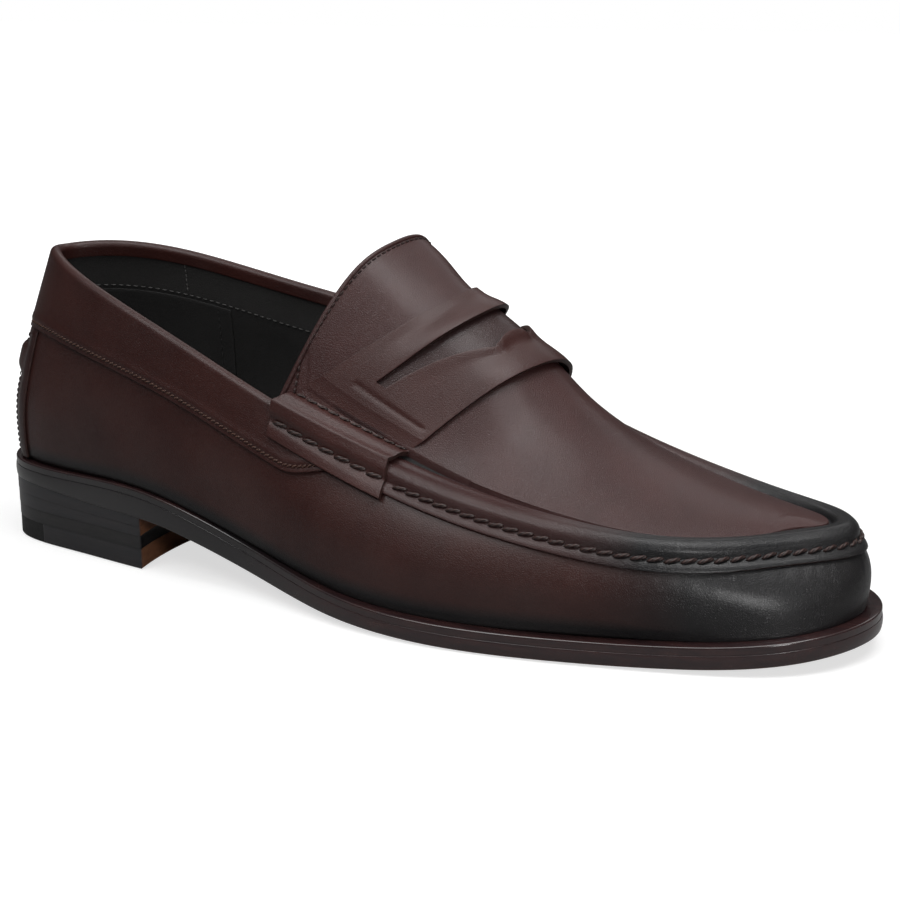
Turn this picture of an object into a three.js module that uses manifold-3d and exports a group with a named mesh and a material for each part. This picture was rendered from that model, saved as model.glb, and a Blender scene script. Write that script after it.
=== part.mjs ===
// Penny loafer, right foot. Millimetres, +X to the toe, +Y to the inner (medial) side, +Z up.
// The origin is at the middle of the footprint, on the ground.
import * as THREE from 'three';
import { mergeVertices } from 'three/addons/utils/BufferGeometryUtils.js';
import Module from 'manifold-3d';

const wasm = await Module();
wasm.setup();

// ---------------------------------------------------------------- driving dimensions
const SOLE_LENGTH = 300; // outsole, heel to toe
const BALL_WIDTH = 103.5; // outsole, across the ball
const COLLAR_HEIGHT = 97.5; // top of the back of the collar above the ground
const HEEL_HEIGHT = 19.5; // underside of the outsole above the ground at the breast
const BREAST_X = 75; // front face of the heel, from the heel's back
const BREAST_DEPTH = 4; // how far the breast is hollowed
const OUTSOLE = 4.2;
const MIDSOLE = 2.1;
const TOP_PIECE = 6.5; // lowest heel layer
const BLACK_LIFT = 4.5; // fibre lift between the leather ones
const TIP_X = 24; // front face of the rubber tip
const WALL = 1.5; // leather of the moccasin wall
const LEATHER = 1.3; // collar, apron, strap and tab
const STIFFENER = 0.6; // heel counter and toe puff
const LINING = 1.0;
const INSOLE = 2.2;
const FILLER = 1.5; // cork and shank
const HEEL_PAD = 3;
const SOCK = 1.2;
const MARGIN = 9; // lasting margin turned in under the insole
const GAP = 0.3; // clearance between pieces that touch
const ROLL = 3.2; // height of the rolled apron edge
const SEAM_THREAD = 0.6; // radius of the apron thread
const FINE_THREAD = 0.35; // radius of the other threads
const NAIL = 0.9; // radius of a heel nail
const SHANK_WIDTH = 13;
const TONGUE_TAU = 22 / 64; // row of the tongue's end
const THROAT_TAU = 0.285; // row where the apron leaves the wall
const STRAP_REAR = 0.286;
const STRAP_FRONT = 0.2245;
const STRAP_LIP = 0.8; // lower edge of the strap's wrapped ends, on the wall
const COLLAR_SEAM = 0.65; // lower edge of the collar, on the wall
const SLOT_REAR = 0.2655;

// Shape of the last, at its nominal size. Every list starts at the heel's back and runs round the
// outer side to the toe (the eleventh point) and back along the inner side.
const NOMINAL = { length: 300, width: 103.5, collar: 97.5 };
const OUTLINE = [[0, 0], [10, -23.8], [40, -31.5], [78, -36.5], [115, -39.5], [150, -48.5], [185, -51.5],
  [221, -46], [254, -37], [284.5, -23.5], [300, 3], [292, 28], [271, 44], [240, 52], [204, 51], [168, 41],
  [132, 28], [94, 25], [50, 30], [12, 23.5]];
const LEDGE = [1.2, 1.2, 1.2, 1.2, 1.6, 3, 4, 4.2, 4.4, 4.5, 4.5, 4.5, 4.4, 4.2, 4, 2.6, 1.2, 1, 1.2, 1.2];
const TOPLINE = [[14, 2, 97.5], [23, -13, 98], [46, -26.5, 92], [84, -31.5, 77.5], [116, -34.5, 65],
  [148, -35, 53], [182, -36, 43.6], [218, -36.3, 38.3], [250, -27, 34.8], [275, -5, 34], [287, 10, 34.8],
  [280, 25, 34.8], [262, 34, 36.2], [235, 38, 41.5], [205, 36.5, 51.5], [168, 34, 66], [130, 33, 78],
  [92, 30, 86], [50, 25.5, 94.5], [24, 14.5, 97.8]];
const BULGE = [4.5, 4.5, 4, 3, 4, 5.5, 6, 5.5, 4.5, 4, 4, 4, 4.5, 5.5, 6, 5.5, 4, 3, 4, 4.5];
const SKEW = [0.65, 0.65, 0.68, 0.75, 0.85, 0.95, 1, 1, 1.05, 1.1, 1.1, 1.1, 1.05, 1, 1, 0.95, 0.85, 0.75,
  0.68, 0.65];
const CREST = [[287, 10, 34.8], [278, 9.5, 36.7], [256, 5, 40.3], [229, 4, 47.5], [205, 3, 60.5],
  [184, 3, 79.5], [163, 4, 93.5], [145, 3, 106.5]];
const UNDERSIDE = [[0, 22.5], [37.5, 21.1], [75, 19.5], [112.5, 9.9], [150, 2.5], [187.5, 0.15], [225, 0.35],
  [262.5, 2.8], [300, 7.6]];

// ---------------------------------------------------------------- curves and surfaces
const mix = (a, b, k) => a + (b - a) * k;
const clamp01 = (x) => Math.min(Math.max(x, 0), 1);
const smooth = (a, b, x) => {
  const k = clamp01((x - a) / (b - a));
  return k * k * (3 - 2 * k);
};
const add = (p, q, k = 1) => p.map((c, i) => c + q[i] * k);
const sub = (p, q) => p.map((c, i) => c - q[i]);
const blend = (p, q, k) => p.map((c, i) => mix(c, q[i], k));
const cross = (a, b) => [a[1] * b[2] - a[2] * b[1], a[2] * b[0] - a[0] * b[2], a[0] * b[1] - a[1] * b[0]];
const dot = (a, b) => a.reduce((s, c, i) => s + c * b[i], 0);
const unit = (a) => {
  const length = Math.hypot(...a);
  return a.map((c) => c / length);
};

// Cubic B-spline through the points: the control points are found by sweeping 6Q = Pa + 4P + Pb.
function splineThrough(points, closed) {
  const rows = points.map((p) => (Array.isArray(p) ? p : [p]));
  const n = rows.length;
  const at = (list, i) => {
    if (closed) return list[(i + n) % n];
    if (i < 0) return list[0].map((c, k) => 2 * c - list[1][k]);
    if (i >= n) return list[n - 1].map((c, k) => 2 * c - list[n - 2][k]);
    return list[i];
  };
  const control = rows.map((p) => [...p]);
  for (let sweep = 0; sweep < 60; sweep += 1) {
    for (let i = closed ? 0 : 1; i < (closed ? n : n - 1); i += 1) {
      const before = at(control, i - 1);
      const after = at(control, i + 1);
      control[i] = rows[i].map((c, k) => (6 * c - before[k] - after[k]) / 4);
    }
  }
  return (t) => {
    const s = closed ? (t - Math.floor(t)) * n : clamp01(t) * (n - 1);
    const i = Math.min(Math.floor(s), closed ? n : n - 2);
    const f = s - i;
    const weights = [(1 - f) ** 3 / 6, (3 * f ** 3 - 6 * f ** 2 + 4) / 6,
      (-3 * f ** 3 + 3 * f ** 2 + 3 * f + 1) / 6, f ** 3 / 6];
    return rows[0].map((_, k) => weights.reduce((sum, w, j) => sum + w * at(control, i + j - 1)[k], 0));
  };
}

const stretch = [SOLE_LENGTH / NOMINAL.length, BALL_WIDTH / NOMINAL.width, 1];
const lift = HEEL_HEIGHT - 19.5;
// A bigger last has longer facets, so its layers stand further apart.
const growth = Math.max(...stretch, COLLAR_HEIGHT / NOMINAL.collar, 1);
const facetSlack = 0.5 * (growth - 1);
const onLast = (p) => p.map((c, k) => c * stretch[k]);
const undersideAt = splineThrough(UNDERSIDE.map(([, z]) => z), false);
const heelRise = (x) => lift * (1 - smooth(BREAST_X, BREAST_X * 2.2, x));
const underside = (x) => undersideAt(x / SOLE_LENGTH)[0] + heelRise(x);
const rise = (p) => {
  const base = p[2] - 20;
  return [p[0], p[1], 20 + base * ((COLLAR_HEIGHT - 20) / (NOMINAL.collar - 20)) + heelRise(p[0])];
};
const outline = splineThrough(OUTLINE.map(onLast), true);
const topline = splineThrough(TOPLINE.map((p) => rise(onLast(p))), true);
const crest = splineThrough(CREST.map((p) => rise(onLast(p))), false);
const ledge = splineThrough(LEDGE, true);
const bulge = splineThrough(BULGE, true);
const skew = splineThrough(SKEW, true);

// Outward direction of the outline, level with the ground.
function outward(t) {
  const d = sub(outline(t + 0.001), outline(t - 0.001));
  return unit([d[1], -d[0], 0]);
}

// Point of the sole at parameter t, set in from the edge, at a height above the underside.
function onSole(t, inset, height) {
  const edge = outline(t);
  const n = outward(t);
  const x = edge[0] - n[0] * inset;
  return [x, edge[1] - n[1] * inset, underside(x) + height];
}
const SOLE_TOP = OUTSOLE + GAP + MIDSOLE;
const feather = (t) => onSole(t, ledge(t)[0], SOLE_TOP + GAP);

function wallSurface(t, v) {
  const swell = bulge(t)[0] * Math.sin(Math.PI * Math.max(v, 0) ** skew(t)[0]);
  return add(blend(feather(t), topline(t), v), outward(t), swell);
}

// Point of the upper's side wall: v is 0 at the sole and 1 at the topline or the apron seam.
function onWall(t, v, offset) {
  const h = 0.003;
  const along = sub(wallSurface(t + h, v), wallSurface(t - h, v));
  const up = sub(wallSurface(t, Math.min(v + h, 1)), wallSurface(t, Math.max(v - h, 0)));
  const n = unit(cross(along, up));
  const side = Math.sign(dot(n, outward(t)));
  return add(wallSurface(t, v), n, offset * side);
}

function apronSurface(tau, w) {
  const row = Math.min(tau, THROAT_TAU);
  const k = Math.max(tau - THROAT_TAU, 0) / (TONGUE_TAU - THROAT_TAU);
  const outer = add(topline(0.5 - row), [3, 3, 8], k);
  const inner = add(topline(0.5 + row), [0, -3, 7], k);
  const middle = crest(tau / TONGUE_TAU);
  const fullness = w > 0.5 ? 1.75 + 0.3 * smooth(0.27, 0.33, tau) : 2 + 1.6 * smooth(0.1, 0.35, tau);
  const arch = 1 - Math.abs(2 * w - 1) ** fullness;
  return add(blend(outer, inner, w), sub(middle, blend(outer, inner, 0.5)), arch);
}

// Point of the apron and tongue: tau is the row from the toe, w runs from the outer to the inner edge.
function onApron(tau, w, offset) {
  const h = 0.003;
  const a = sub(apronSurface(tau + h, w), apronSurface(Math.max(tau - h, 0.001), w));
  const b = sub(apronSurface(tau, Math.min(w + h, 1)), apronSurface(tau, Math.max(w - h, 0)));
  const n = unit(cross(b, a));
  return add(apronSurface(tau, w), n, offset * Math.sign(n[2]));
}

// ---------------------------------------------------------------- solids
// Welds triangles given as point triples and drops the ones that have collapsed.
function weld(triangles) {
  const index = new Map();
  const positions = [];
  const faces = [];
  const idOf = (p) => {
    const key = p.map((c) => Math.round(c * 2000)).join(',');
    if (!index.has(key)) {
      index.set(key, positions.length / 3);
      positions.push(...p);
    }
    return index.get(key);
  };
  for (const triangle of triangles) {
    const [a, b, c] = triangle.map(idOf);
    if (a !== b && b !== c && a !== c) faces.push(a, b, c);
  }
  const geometry = new THREE.BufferGeometry();
  geometry.setAttribute('position', new THREE.Float32BufferAttribute(positions, 3));
  geometry.setIndex(faces);
  return geometry;
}

function quad(list, a, b, c, d) {
  list.push([a, b, c], [a, c, d]);
}

function volumeOf(triangles) {
  return triangles.reduce((sum, [a, b, c]) => sum + dot(a, cross(b, c)) / 6, 0);
}

// Closed solid between two surfaces given over a grid of nu by nv cells. The rims close it; a loop in u
// needs none across it, and an unrimmed top is where the two halves of a folded sheet meet.
function layer(nu, nv, outer, inner, { loop = false, openTop = false } = {}) {
  const triangles = [];
  const grid = (surface) => {
    const rows = [];
    for (let i = 0; i <= nu; i += 1) {
      rows.push([]);
      for (let j = 0; j <= nv; j += 1) rows[i].push(surface(loop ? i % nu : i, j));
    }
    return rows;
  };
  const front = grid(outer);
  const back = grid(inner);
  for (let i = 0; i < nu; i += 1) {
    for (let j = 0; j < nv; j += 1) {
      quad(triangles, front[i][j], front[i + 1][j], front[i + 1][j + 1], front[i][j + 1]);
      quad(triangles, back[i][j + 1], back[i + 1][j + 1], back[i + 1][j], back[i][j]);
    }
    quad(triangles, back[i][0], back[i + 1][0], front[i + 1][0], front[i][0]);
    if (!openTop) quad(triangles, front[i][nv], front[i + 1][nv], back[i + 1][nv], back[i][nv]);
  }
  if (!loop) {
    for (let j = 0; j < nv; j += 1) {
      quad(triangles, front[0][j], front[0][j + 1], back[0][j + 1], back[0][j]);
      quad(triangles, back[nu][j], back[nu][j + 1], front[nu][j + 1], front[nu][j]);
    }
  }
  const outsideOut = volumeOf(triangles) > 0;
  return weld(outsideOut ? triangles : triangles.map(([a, b, c]) => [a, c, b]));
}

function toManifold(geometry) {
  const bare = geometry.clone();
  bare.deleteAttribute('normal');
  bare.deleteAttribute('uv');
  const merged = mergeVertices(bare, 1e-4);
  return new wasm.Manifold(new wasm.Mesh({
    numProp: 3,
    vertProperties: new Float32Array(merged.getAttribute('position').array),
    triVerts: new Uint32Array(merged.getIndex().array),
  }));
}

function fromManifold(solid) {
  const mesh = solid.getMesh();
  const geometry = new THREE.BufferGeometry();
  geometry.setAttribute('position', new THREE.BufferAttribute(mesh.vertProperties, 3));
  geometry.setIndex(new THREE.BufferAttribute(mesh.triVerts, 1));
  return geometry;
}

const cut = (geometry, tools) => fromManifold(
  tools.reduce((solid, tool) => solid.subtract(toManifold(tool)), toManifold(geometry)),
);

// Round thread along a list of points, with flat ends.
function tube(points, radius, steps, sides) {
  const path = new THREE.CatmullRomCurve3(points.map((p) => new THREE.Vector3(...p)));
  const section = new THREE.Shape();
  for (let i = 0; i < sides; i += 1) {
    const angle = (2 * Math.PI * i) / sides;
    const draw = i === 0 ? 'moveTo' : 'lineTo';
    section[draw](radius * Math.cos(angle), radius * Math.sin(angle));
  }
  section.closePath();
  return new THREE.ExtrudeGeometry(section, { steps, extrudePath: path, bevelEnabled: false });
}

const group = new THREE.Group();
function place(name, geometry, color, roughness, metalness = 0) {
  const material = new THREE.MeshStandardMaterial({ color, roughness, metalness });
  const mesh = new THREE.Mesh(geometry, material);
  mesh.name = name;
  group.add(mesh);
}
const OXBLOOD = 0x4a1f1e;
const BLACK_EDGE = 0x1a1412;
const NATURAL = 0x9a6a45;
const LINER = 0x2b2a2b;

// ---------------------------------------------------------------- bottom
// Edge of the sole, set in, at a length x from the heel's back: side is 1 outer, -1 inner.
function edgeAt(x, inset, side) {
  const insetOf = typeof inset === 'function' ? inset : () => inset;
  const point = (t) => add(outline(side * t), outward(side * t), -insetOf(side * t));
  let near = 0;
  let far = 0.5;
  for (let i = 0; i < 40; i += 1) {
    const middle = (near + far) / 2;
    if (point(middle)[0] < x) near = middle;
    else far = middle;
  }
  return { t: near, y: point(near)[1] };
}

// Lengths at which every layer of the bottom has its rows, so that neighbours stay parallel.
const STATIONS = 30;
const stations = [];
for (let k = 1; k < STATIONS; k += 1) {
  stations.push((SOLE_LENGTH * (1 - Math.cos((Math.PI * k) / STATIONS))) / 2);
}

// Layer of the bottom between two lengths. low and high give its heights at a length, width makes it a
// plain strip, and bow hollows its front face.
function slab(from, to, inset, low, high, { across = 2, bow = 0, width = 0 } = {}) {
  const inside = stations.filter((x) => x > from + 2 && x < to - 2);
  const rows = [from, ...inside, to];
  const edges = rows.map((x) => [edgeAt(x, inset, 1).y, edgeAt(x, inset, -1).y]);
  const surface = (heightOf) => (i, j) => {
    const share = j / across;
    const middle = (edges[i][0] + edges[i][1]) / 2;
    const half = width / 2;
    const y = width ? middle + mix(-half, half, share) : mix(...edges[i], share);
    const hollow = bow * smooth(to - 22, to, rows[i]) * (1 - (2 * share - 1) ** 2);
    const x = rows[i] - hollow;
    return [x, y, heightOf(x)];
  };
  return layer(rows.length - 1, across, surface(low), surface(high));
}

// Layer of the bottom over the whole length.
const fullSlab = (inset, low, high) => slab(inset, SOLE_LENGTH - inset, inset, above(low), above(high));
const above = (height) => (x) => underside(x) + height;

const NAIL_TOP = SOLE_TOP + GAP + FILLER;
const nailSpots = [[TIP_X / 2, 0], [TIP_X + 2, -18], [TIP_X + 2, 17], [(BREAST_X + 1) / 2, 0],
  [BREAST_X - 21, -20], [BREAST_X - 21, 17]];
function nail(x, y, grow) {
  const top = underside(x) + NAIL_TOP + grow;
  const bottom = GAP - grow * 2;
  const head = NAIL + 0.8 + grow;
  const profile = [[0, bottom], [head, bottom], [head, GAP + 1 + grow], [NAIL + grow, GAP + 1 + grow],
    [NAIL + grow, top - 2], [0, top]];
  const lathe = new THREE.LatheGeometry(profile.map(([r, z]) => new THREE.Vector2(r, z)), 8);
  lathe.rotateX(Math.PI / 2);
  lathe.translate(x, y, 0);
  return lathe;
}
const nailPlaces = nailSpots.map(([x, y]) => [x * stretch[0], y * stretch[1]]);
const nailHoles = nailPlaces.map(([x, y]) => nail(x, y, GAP));

function stitchPath(inset, height, extra = 0) {
  const points = [];
  const start = edgeAt(BREAST_X + 12, 0, 1).t - extra;
  for (let i = 0; i <= 40; i += 1) points.push(onSole(mix(start, 1 - start, i / 40), inset, height));
  return points;
}

function outsole() {
  const whole = fullSlab(0, 0, OUTSOLE);
  const channel = tube(stitchPath(6, 0.9, 0.002), 1.6, 44, 6);
  return cut(whole, [channel, ...nailHoles]);
}

function midsole() {
  return cut(fullSlab(0.6, OUTSOLE + GAP, SOLE_TOP), nailHoles);
}

const heelFloor = (z) => () => z;
const heelRoof = (x) => underside(x) - GAP;
const layerHeights = [0, TOP_PIECE, TOP_PIECE + GAP + BLACK_LIFT];
function heelLayer(low, high, inset, from = inset, to = BREAST_X) {
  const bow = to === BREAST_X ? BREAST_DEPTH : 0;
  const piece = slab(from, to, inset, low, high, { across: 4, bow });
  const holes = nailHoles.filter((_, i) => nailPlaces[i][0] > from && nailPlaces[i][0] < to);
  return cut(piece, holes);
}

function addHeel() {
  const liftFloor = layerHeights[2] + GAP;
  const joint = (x) => mix(liftFloor, heelRoof(x), 0.5);
  place('heel_top_piece', heelLayer(heelFloor(0), heelFloor(TOP_PIECE), 1.6, TIP_X + GAP), 0x6e4a30, 0.7);
  place('heel_rubber_tip', heelLayer(heelFloor(0), heelFloor(TOP_PIECE), 1.6, 1.6, TIP_X), 0x121212, 0.85);
  place('heel_lift_3', heelLayer(heelFloor(layerHeights[1] + GAP), heelFloor(layerHeights[2]), 1.2),
    0x16120f, 0.6);
  place('heel_lift_2', heelLayer(heelFloor(liftFloor), (x) => joint(x) - GAP, 0.9), NATURAL, 0.7);
  place('heel_lift_1', heelLayer(joint, heelRoof, 0.6), NATURAL, 0.7);
  nailPlaces.forEach(([x, y], i) => place(`heel_nail_${i + 1}`, nail(x, y, 0), 0xb08d57, 0.4, 1));
}

const SEAT = SOLE_TOP + GAP;
const insetUpper = WALL + 3 * GAP + STIFFENER + LINING + 2 * facetSlack;
const insoleFloor = SEAT + FILLER + GAP;
const insoleTop = insoleFloor + INSOLE;
const padEnd = stations.find((x) => x > 60 * stretch[0]);
const padRise = (x) => (HEEL_PAD + GAP) * (1 - smooth(padEnd, padEnd + 28, x));
function addInsole() {
  const inset = (less) => (t) => ledge(t)[0] + insetUpper + less;
  const boardFrom = inset(1.6)(0) + 0.3;
  const boardTo = SOLE_LENGTH - inset(1.6)(0.5) - 0.3;
  place('cork_filler', slab(168 * stretch[0], SOLE_LENGTH - MARGIN - 11, MARGIN + 5.4,
    above(SEAT), above(SEAT + FILLER)), 0xa9794f, 0.9);
  place('shank', slab(50 * stretch[0], 164 * stretch[0], 0, above(SEAT), above(SEAT + FILLER),
    { width: SHANK_WIDTH }), 0x8a8f96, 0.35, 1);
  const board = slab(boardFrom, boardTo, inset(1.6), above(insoleFloor), above(insoleTop));
  place('insole_board', board, 0xb59a78, 0.9);
  place('heel_pad', slab(boardFrom + 2, padEnd, inset(3), above(insoleTop + GAP),
    above(insoleTop + GAP + HEEL_PAD)), 0xd8cfc0, 0.95);
  const sockFloor = (x) => underside(x) + insoleTop + GAP + padRise(x);
  place('sock_liner', slab(boardFrom + 0.5, boardTo - 0.5, inset(2.1), sockFloor,
    (x) => sockFloor(x) + SOCK), LINER, 0.7);
}

// ---------------------------------------------------------------- upper
// All layers of the upper have their columns at the same fractions of the way round, so that their
// facets stay parallel.
const COLUMN = 1 / 64;
const wallTop = (t) => {
  const rear = smooth(0.245, 0.22, Math.abs(t - Math.round(t)));
  return mix(0.955, COLLAR_SEAM + 0.12, rear);
};

function vampWall() {
  const around = 64;
  const rows = 8;
  const slit = 0.002;
  const side = (offset, height) => (i, j) => {
    const t = Math.min(Math.max(i * COLUMN, slit), 1 - slit);
    if (j < 2) {
      const inset = ledge(t)[0] + mix(MARGIN, 1.5, j);
      return onSole(t, inset, SOLE_TOP + GAP + height);
    }
    const v = wallTop(t) * ((j - 2) / (rows - 2)) ** 0.9;
    return onWall(t, Math.max(v, height / 90), offset);
  };
  return layer(around, rows, side(0, 0), side(-WALL, WALL));
}

// The quarter's overlay. In front it runs on below the strap's wrapped end, under the apron's lip.
function collar() {
  const columns = 32;
  const seam = (t) => COLLAR_SEAM + 0.1 * smooth(0.225, 0.26, Math.abs(t));
  const edge = (t) => mix(1, 0.86, smooth(13 * COLUMN, 14 * COLUMN, Math.abs(t)));
  const side = (offset) => (i, j) => {
    const t = (i - columns / 2) * COLUMN;
    return onWall(t, mix(seam(t), edge(t), j / 4), offset);
  };
  return layer(columns, 4, side(GAP + LEATHER), side(GAP));
}

// Upright strap over the back seam, from the sole to the collar's lower edge, with a raised knob.
function backStrap() {
  const half = 0.045;
  const top = COLLAR_SEAM - 0.008;
  const knob = (t, v) => 1.6 * Math.exp(-(((v - 0.5) / 0.08) ** 2) - (t / 0.03) ** 2);
  const side = (grow) => (i, j) => {
    const t = mix(-half, half, i / 8);
    const v = mix(0.02, top, j / 12);
    return onWall(t, v, GAP + grow * (LEATHER + knob(t, v)));
  };
  return layer(8, 12, side(1), side(0));
}

function innerLayer(from, columns, low, high, depth, thick, rows) {
  const side = (offset) => (i, j) => onWall((from + i) * COLUMN, mix(low, high, j / rows), offset);
  return layer(columns, rows, side(-depth), side(-depth - thick));
}

const stiffenerDepth = WALL + GAP + facetSlack;
const liningDepth = WALL + 2 * GAP + STIFFENER + GAP + 2 * facetSlack;
function quarterLining() {
  const depth = (v) => mix(liningDepth, 0.1, smooth(COLLAR_SEAM + 0.14, 0.97, v));
  const side = (grow) => (i, j) => {
    const t = Math.max(Math.min((i - 14) * COLUMN, 13.7 * COLUMN), -13.7 * COLUMN);
    const v = mix(0.07, 0.985, j / 7);
    return onWall(t, v, -depth(v) - grow * LINING);
  };
  return layer(28, 7, side(0), side(1));
}

// Radial position on the apron for a column of the fan round the seam: k is 0 at the seam, 1 on the crest.
const FAN_MIN = 0.012;
function fan(column, columns, reach) {
  const turn = (2 * column) / columns - 1;
  const tau = Math.max(Math.abs(turn) * reach, FAN_MIN);
  const side = Math.abs(turn) * reach >= FAN_MIN ? Math.sign(turn) : (turn * reach) / FAN_MIN;
  return { t: 0.5 + turn * reach, tau, across: (k) => 0.5 + 0.5 * side * (1 - k) };
}

// Directions at the apron seam: in across the apron, up from it, and out of the wall.
function seamFrame(column, columns, reach) {
  const { tau, across } = fan(column, columns, reach);
  const seam = apronSurface(tau, across(0));
  const inward = unit(sub(apronSurface(Math.max(tau, 0.03), across(0.16)), seam));
  const ahead = apronSurface(tau + 0.004, across(0));
  const raw = cross(inward, sub(ahead, apronSurface(Math.max(tau - 0.004, 0), across(0))));
  const up = unit(raw.map((c) => c * Math.sign(raw[2])));
  return { seam, inward, up };
}

const APRON_COLUMNS = 44;
function apron() {
  const rows = 11;
  const at = (grow) => (i, j) => {
    const { t, tau, across } = fan(i, APRON_COLUMNS, TONGUE_TAU);
    const { seam, inward, up } = seamFrame(i, APRON_COLUMNS, TONGUE_TAU);
    const seamed = smooth(THROAT_TAU, THROAT_TAU - 0.02, tau);
    const out = (a, b) => add(add(seam, inward, a), up, b);
    const level = grow ? 0 : -LEATHER;
    const thin = out(0.2, level);
    if (j >= 5) return onApron(tau, across(mix(0.16, 1, (j - 5) / (rows - 5))), level);
    const lip = tau > THROAT_TAU ? 1 : 0.9;
    const rolled = [
      onWall(t, lip, GAP + grow * LEATHER),
      onWall(t, mix(lip, 1, 0.5), GAP + grow * (LEATHER + 0.6)),
      grow ? out(-1.2, ROLL * 0.75) : out(-0.4, 0.5),
      grow ? out(1.4, ROLL) : out(2, 0.5),
      grow ? out(3.8, ROLL * 0.5) : out(3.2, -LEATHER * 0.8),
    ][j];
    const plain = add(thin, inward, 0.7 * j);
    return blend(plain, rolled, seamed);
  };
  return layer(APRON_COLUMNS, rows, at(1), at(0), { openTop: true });
}

function vampLining() {
  const columns = 36;
  const reach = 18 * COLUMN;
  const side = (grow) => (i, j) => {
    const { t, tau, across } = fan(i, columns, reach);
    const depth = liningDepth + grow * LINING;
    if (j <= 3) return onWall(t, mix(0.1 * growth, 0.8, j / 3), -depth);
    return onApron(Math.max(tau, 0.035), across(mix(0.2, 1, (j - 4) / 4)), -depth);
  };
  return layer(columns, 8, side(0), side(1), { openTop: true });
}

function tongueLining() {
  const side = (depth) => (i, j) => {
    const tau = mix(THROAT_TAU + 0.002, TONGUE_TAU - 0.004, i / 4);
    return onApron(tau, mix(0.08, 0.92, j / 12), -depth);
  };
  return layer(4, 12, side(LEATHER + GAP), side(LEATHER + GAP + LINING));
}

// The strap runs from its lip on the outer wall, over the rolled edges and the apron, to the inner wall.
const STRAP_ROWS = 24;
function strapPoint(tau, j, grow) {
  const outer = j <= STRAP_ROWS / 2;
  const k = outer ? j : STRAP_ROWS - j;
  const side = outer ? -1 : 1;
  const t = 0.5 + side * tau;
  const w = (share) => 0.5 + 0.5 * side * (1 - share);
  const clear = GAP + grow * LEATHER;
  const overLip = 2 * GAP + LEATHER + grow * LEATHER;
  if (k < 3) return onWall(t, mix(STRAP_LIP, 0.93, k / 2), overLip + (k === 2 ? 0.8 : 0));
  const seam = apronSurface(tau, w(0));
  const inward = unit(sub(apronSurface(tau, w(0.16)), seam));
  const along = unit(sub(apronSurface(tau + 0.004, w(0)), apronSurface(tau - 0.004, w(0))));
  const raw = cross(inward, along);
  const up = unit(raw.map((c) => c * Math.sign(raw[2])));
  const out = (a, b) => add(add(seam, inward, a), up, b);
  if (k === 3) return out(-1.9 - grow, ROLL * 0.8 + clear);
  if (k === 4) return out(1.4, ROLL + clear + 0.5);
  if (k === 5) return out(4.6 + grow * 0.5, ROLL * 0.5 + clear + 0.5);
  return onApron(tau, w(mix(0.2, 1, (k - 6) / (STRAP_ROWS / 2 - 6))), clear);
}

function slotCutter() {
  const lip = (w) => {
    const off = Math.abs(w - 0.5);
    const flare = mix(SLOT_REAR - 0.006, SLOT_REAR - 0.022, smooth(0.38, 0.1, off));
    return flare + 0.0185 * Math.max(0, 1 - (off / 0.095) ** 2) ** 0.5 - 0.002;
  };
  const side = (offset) => (i, j) => {
    const w = mix(0.124, 0.876, i / 28);
    return onApron(j ? SLOT_REAR : lip(w), w, offset);
  };
  return layer(28, 1, side(4), side(-0.6));
}

function saddleStrap() {
  const rows = 5;
  const side = (grow) => (i, j) => strapPoint(mix(STRAP_FRONT, STRAP_REAR - 0.002, i / rows), j, grow);
  return cut(layer(rows, STRAP_ROWS, side(1), side(0)), [slotCutter()]);
}

// ---------------------------------------------------------------- threads
function apronSeamThread() {
  const points = [];
  const reach = STRAP_FRONT - 0.012;
  for (let i = 0; i <= 60; i += 1) {
    const t = mix(0.5 - reach, 0.5 + reach, i / 60);
    points.push(onWall(t, 0.925, 2 * GAP + LEATHER + SEAM_THREAD + 0.1 + facetSlack));
  }
  return tube(points, SEAM_THREAD, 56, 5);
}

function collarThread() {
  const points = [];
  const last = 0.2;
  for (let i = 0; i <= 60; i += 1) {
    points.push(onWall(mix(0.052, last, i / 60), COLLAR_SEAM + 0.035, 2 * GAP + LEATHER + FINE_THREAD));
  }
  return points;
}

function addThreads() {
  place('apron_seam_thread', apronSeamThread(), 0x2a1716, 0.6);
  const lateral = collarThread();
  const medial = lateral.map((_, i) => onWall(-mix(0.052, 0.2, i / 60), COLLAR_SEAM + 0.035,
    2 * GAP + LEATHER + FINE_THREAD));
  place('collar_thread_lateral', tube(lateral, FINE_THREAD, 28, 4), 0x7a4a3c, 0.7);
  place('collar_thread_medial', tube(medial, FINE_THREAD, 28, 4), 0x7a4a3c, 0.7);
  place('sole_stitch_thread', tube(stitchPath(6, 1.2), 0.7, 44, 5), 0xb9a27c, 0.8);
  for (const [name, side] of [['lateral', -1], ['medial', 1]]) {
    const rowOf = (share) => [1, 2, 3, 4, 5].map((k) => {
      const tau = mix(STRAP_FRONT, STRAP_REAR, k / 6);
      return share === 'outer'
        ? onWall(0.5 + side * tau, 0.85, 3 * GAP + 2 * LEATHER + FINE_THREAD + 0.2)
        : onApron(tau, 0.5 + 0.5 * side * 0.78, 2 * GAP + LEATHER + FINE_THREAD);
    });
    place(`strap_thread_${name}_outer`, tube(rowOf('outer'), FINE_THREAD, 10, 5), 0x2a1716, 0.6);
    place(`strap_thread_${name}_inner`, tube(rowOf('inner'), FINE_THREAD, 10, 5), 0x2a1716, 0.6);
  }
}

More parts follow.
